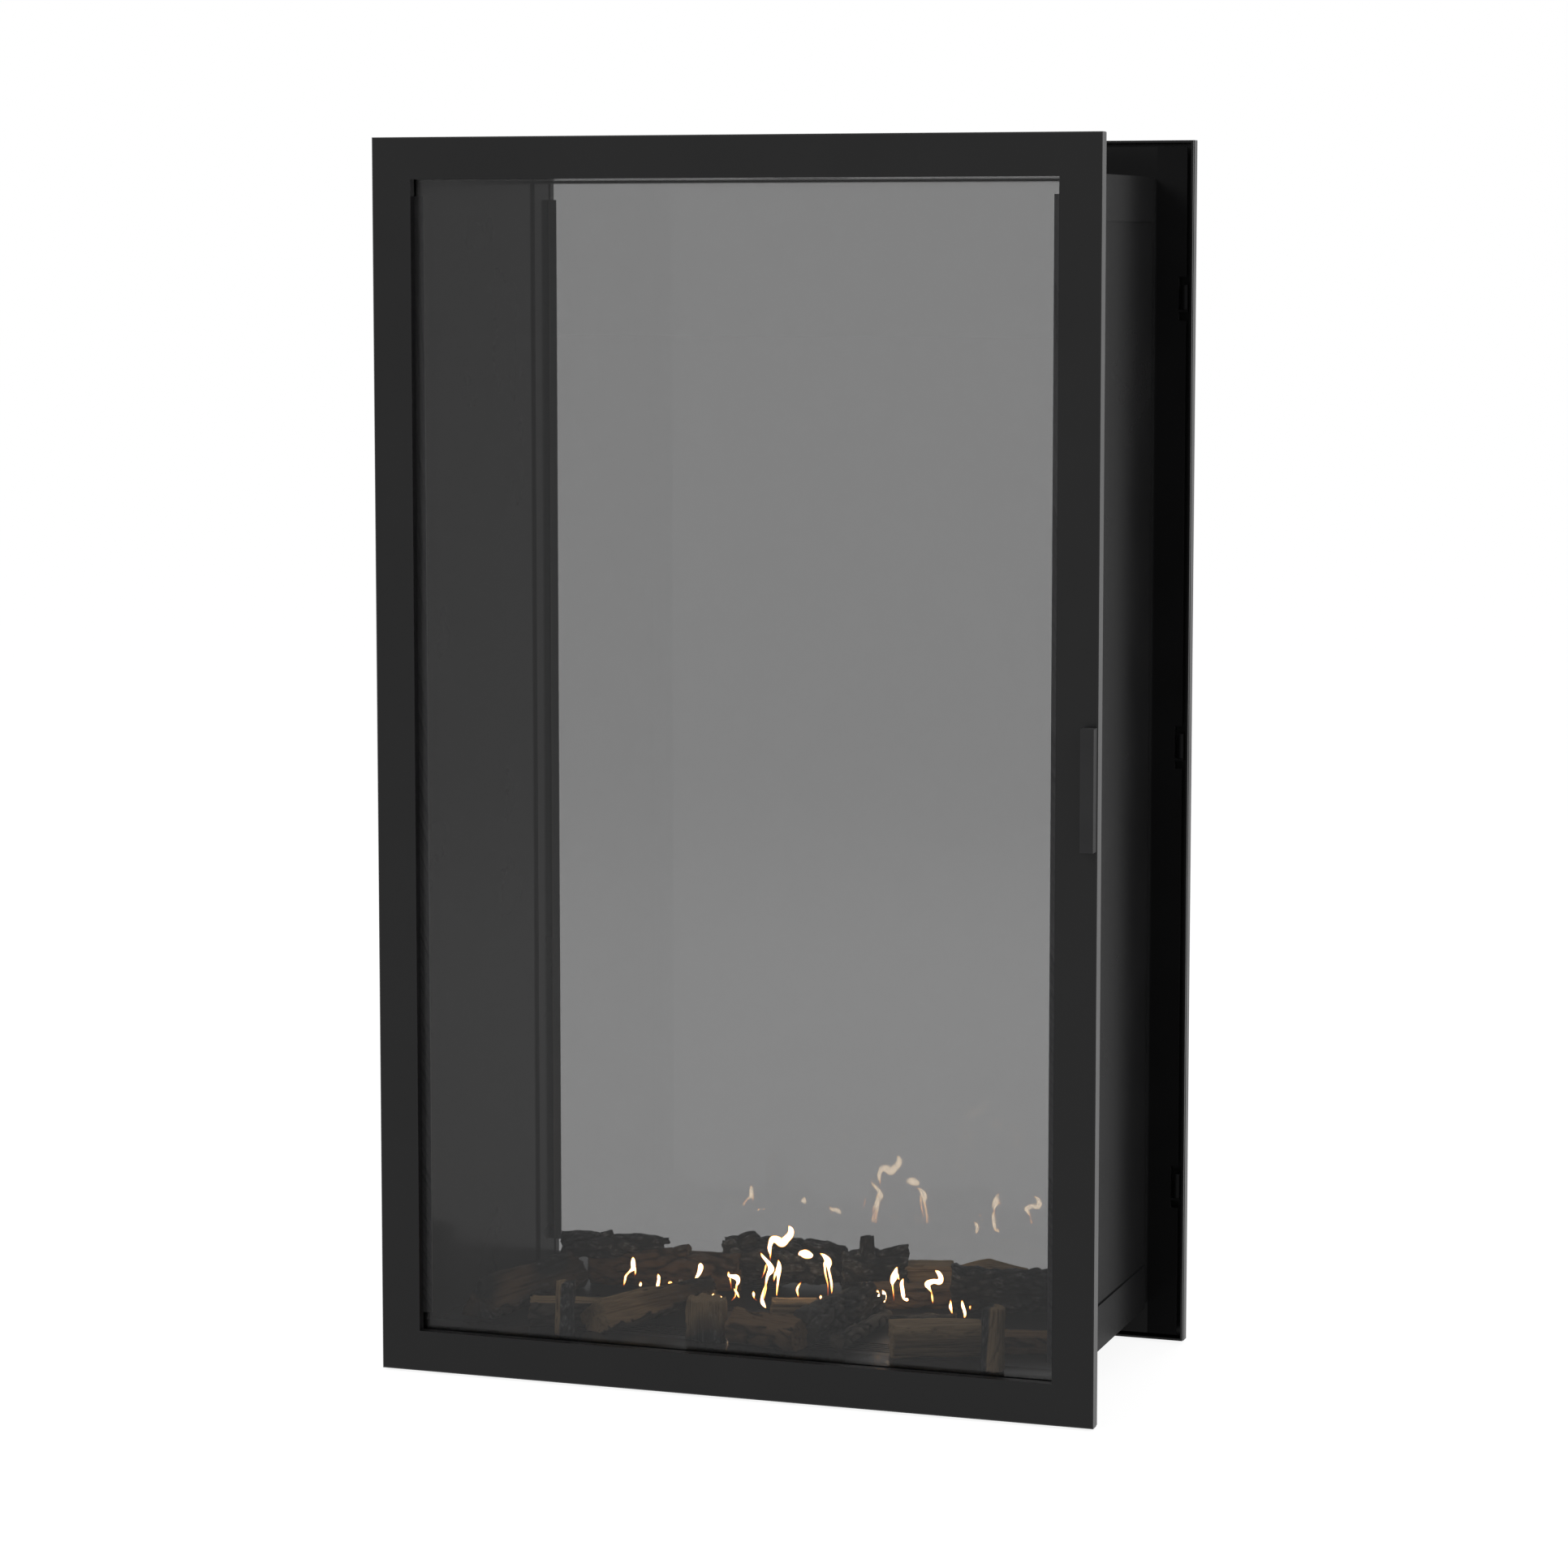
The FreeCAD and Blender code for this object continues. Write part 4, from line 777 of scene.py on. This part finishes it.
def fibre_ring(node, body, width, step, braid, material):
    """A rounded rope or tape in place of a square CAD ring, with the yarns' relief along it."""
    low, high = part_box(node)
    middle_y = (low.y + high.y) / 2
    half_depth = (high.y - low.y) / 2
    half_x = (high.x - low.x) / 2 - width / 2
    half_z = (high.z - low.z) / 2 - width / 2
    centre = Vector(((low.x + high.x) / 2, middle_y, (low.z + high.z) / 2))
    corner = width / 2
    hubs = [Vector((sx * (half_x - corner), 0, sz * (half_z - corner))) for sx, sz in CORNERS]
    path = []
    for quarter, hub in enumerate(hubs):
        for i in range(CORNER_STEPS + 1):
            turn = math.pi / 2 * (quarter + i / CORNER_STEPS)
            out = Vector((math.cos(turn), 0, math.sin(turn)))
            path.append((hub + out * corner, out))
        run_start = hub + out * corner
        run_end = hubs[(quarter + 1) % len(hubs)] + out * corner
        count = max(2, round((run_end - run_start).length / step))
        path += [(run_start.lerp(run_end, i / count), out) for i in range(1, count)]
    points = []
    for index, (at, out) in enumerate(path):
        for side in range(RING_ROUND):
            angle = 2 * math.pi * side / RING_ROUND
            strand = 0.5 + 0.5 * math.cos(YARNS * angle + index * YARN_TWIST)
            yarn = 1 - braid * strand - braid * (index % 2) * 0.5
            flat = abs(math.cos(angle)) ** RING_SQUARENESS * math.copysign(1, math.cos(angle))
            deep = abs(math.sin(angle)) ** RING_SQUARENESS * math.copysign(1, math.sin(angle))
            offset = out * (flat * width / 2 * yarn) + Vector((0, deep * half_depth * yarn, 0))
            points.append(centre + at + offset)
    faces = tube_faces(len(path), RING_ROUND)
    last = (len(path) - 1) * RING_ROUND
    nexts = [(i + 1) % RING_ROUND for i in range(RING_ROUND)]
    faces += [(last + i, last + after, after, i) for i, after in enumerate(nexts)]
    mesh = mesh_of(node, points, faces, {})
    piece = new_piece(node + "_woven", mesh, body, material)
    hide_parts(node)


def add_seals(materials):
    fibre = materials["glass_fibre"]
    for side in ("front", "rear"):
        fibre_ring(side + "_rope_seal", side + "_door", SEAL_WIDTH, SEAL_STEP, SEAL_BRAID, fibre)
        fibre_ring(side + "_glass_tape", side + "_door", TAPE_WIDTH, TAPE_STEP, 0.0, fibre)


def dress_nodes(materials):
    """Give every CAD node the material of its slot, but the handles their own paint and the glass retainers
    a much lighter copy of the shell paint, painted light over their shade.
    """
    own = dict.fromkeys(HANDLES, paint("handle_paint", *HANDLE_PAINT))
    # The retainers' lighter shade is painted light over the shade they lie in beside the glass
    own.update(dict.fromkeys(RETAINERS, shell("retainer_painted_light", *RETAINER_PAINTED_LIGHT)))
    for name, item in NODES.items():
        item.data.materials.clear()
        item.data.materials.append(own.get(name) or materials[SLOT_OF[name]])


def seen_rays(tree):
    """1 for rays from the camera and those that metal and glass send on, 0 for the light on surfaces."""
    path = tree.nodes.new("ShaderNodeLightPath")
    seen = path.outputs["Is Camera Ray"]
    for kind in ("Is Glossy Ray", "Is Transmission Ray"):
        either = tree.nodes.new("ShaderNodeMath")
        either.operation = "MAXIMUM"
        tree.links.new(seen, either.inputs[0])
        tree.links.new(path.outputs[kind], either.inputs[1])
        seen = either.outputs[0]
    return seen


def add_world():
    """A white surround, seen as white by the camera and in metal and glass."""
    world = bpy.data.worlds.new("surround")
    bpy.context.scene.world = world
    world.use_nodes = True
    tree = world.node_tree
    level = tree.nodes.new("ShaderNodeMapRange")
    tree.links.new(seen_rays(tree), level.inputs["Value"])
    level.inputs["To Min"].default_value = SURROUND_LIGHT
    surround = tree.nodes["Background"]
    surround.inputs["Color"].default_value = (1.0, 1.0, 1.0, 1.0)
    tree.links.new(level.outputs["Result"], surround.inputs["Strength"])


def add_floor():
    """A floor that keeps a faint shadow, white for the same rays as the surround."""
    mesh = bpy.data.meshes.new("floor")
    mesh.from_pydata([(x * FLOOR_REACH, y * FLOOR_REACH, 0) for x, y in CORNERS], [], [(0, 1, 2, 3)])
    floor = bpy.data.objects.new("floor", mesh)
    bpy.context.scene.collection.objects.link(floor)
    graph = Graph("floor")
    shade = (FLOOR_SHADE, FLOOR_SHADE, FLOOR_SHADE, 1.0)
    graph.surface(Base_Color=shade, Roughness=1.0, Specular_IOR_Level=0.0)
    level = graph.math("MULTIPLY", seen_rays(graph.tree), FLOOR_LEVEL)
    graph.surface(Emission_Color=(1.0, 1.0, 1.0, 1.0), Emission_Strength=level)
    graph.material.cycles.emission_sampling = "NONE"
    mesh.materials.append(graph.material)


def add_lamps():
    """Soft square lamps that don't show as spots in the paint or the glass."""
    for name, place, watts in LAMPS:
        data = bpy.data.lights.new(name, "AREA")
        data.shape = "SQUARE"
        data.size = LAMP_SIZE
        data.energy = watts
        item = bpy.data.objects.new(name, data)
        item.location = place
        item.rotation_euler = (Vector(LAMP_AIM) - Vector(place)).to_track_quat("-Z", "Y").to_euler()
        item.visible_glossy = False
        bpy.context.scene.collection.objects.link(item)


def add_camera():
    data = bpy.data.cameras.new("camera")
    data.lens = CAMERA_LENS
    data.shift_x, data.shift_y = CAMERA_SHIFT
    item = bpy.data.objects.new("camera", data)
    item.location = CAMERA_PLACE
    item.rotation_euler = (math.radians(90 - CAMERA_PITCH), 0.0, math.radians(CAMERA_YAW))
    bpy.context.scene.collection.objects.link(item)
    bpy.context.scene.camera = item


bpy.context.scene.view_settings.view_transform = "Standard"
bpy.context.scene.cycles.transparent_max_bounces = PANE_CROSSINGS
slot_materials = make_materials()
dress_nodes(slot_materials)
add_logs(slot_materials)
add_seals(slot_materials)
add_flames()
add_world()
add_floor()
add_lamps()
add_camera()
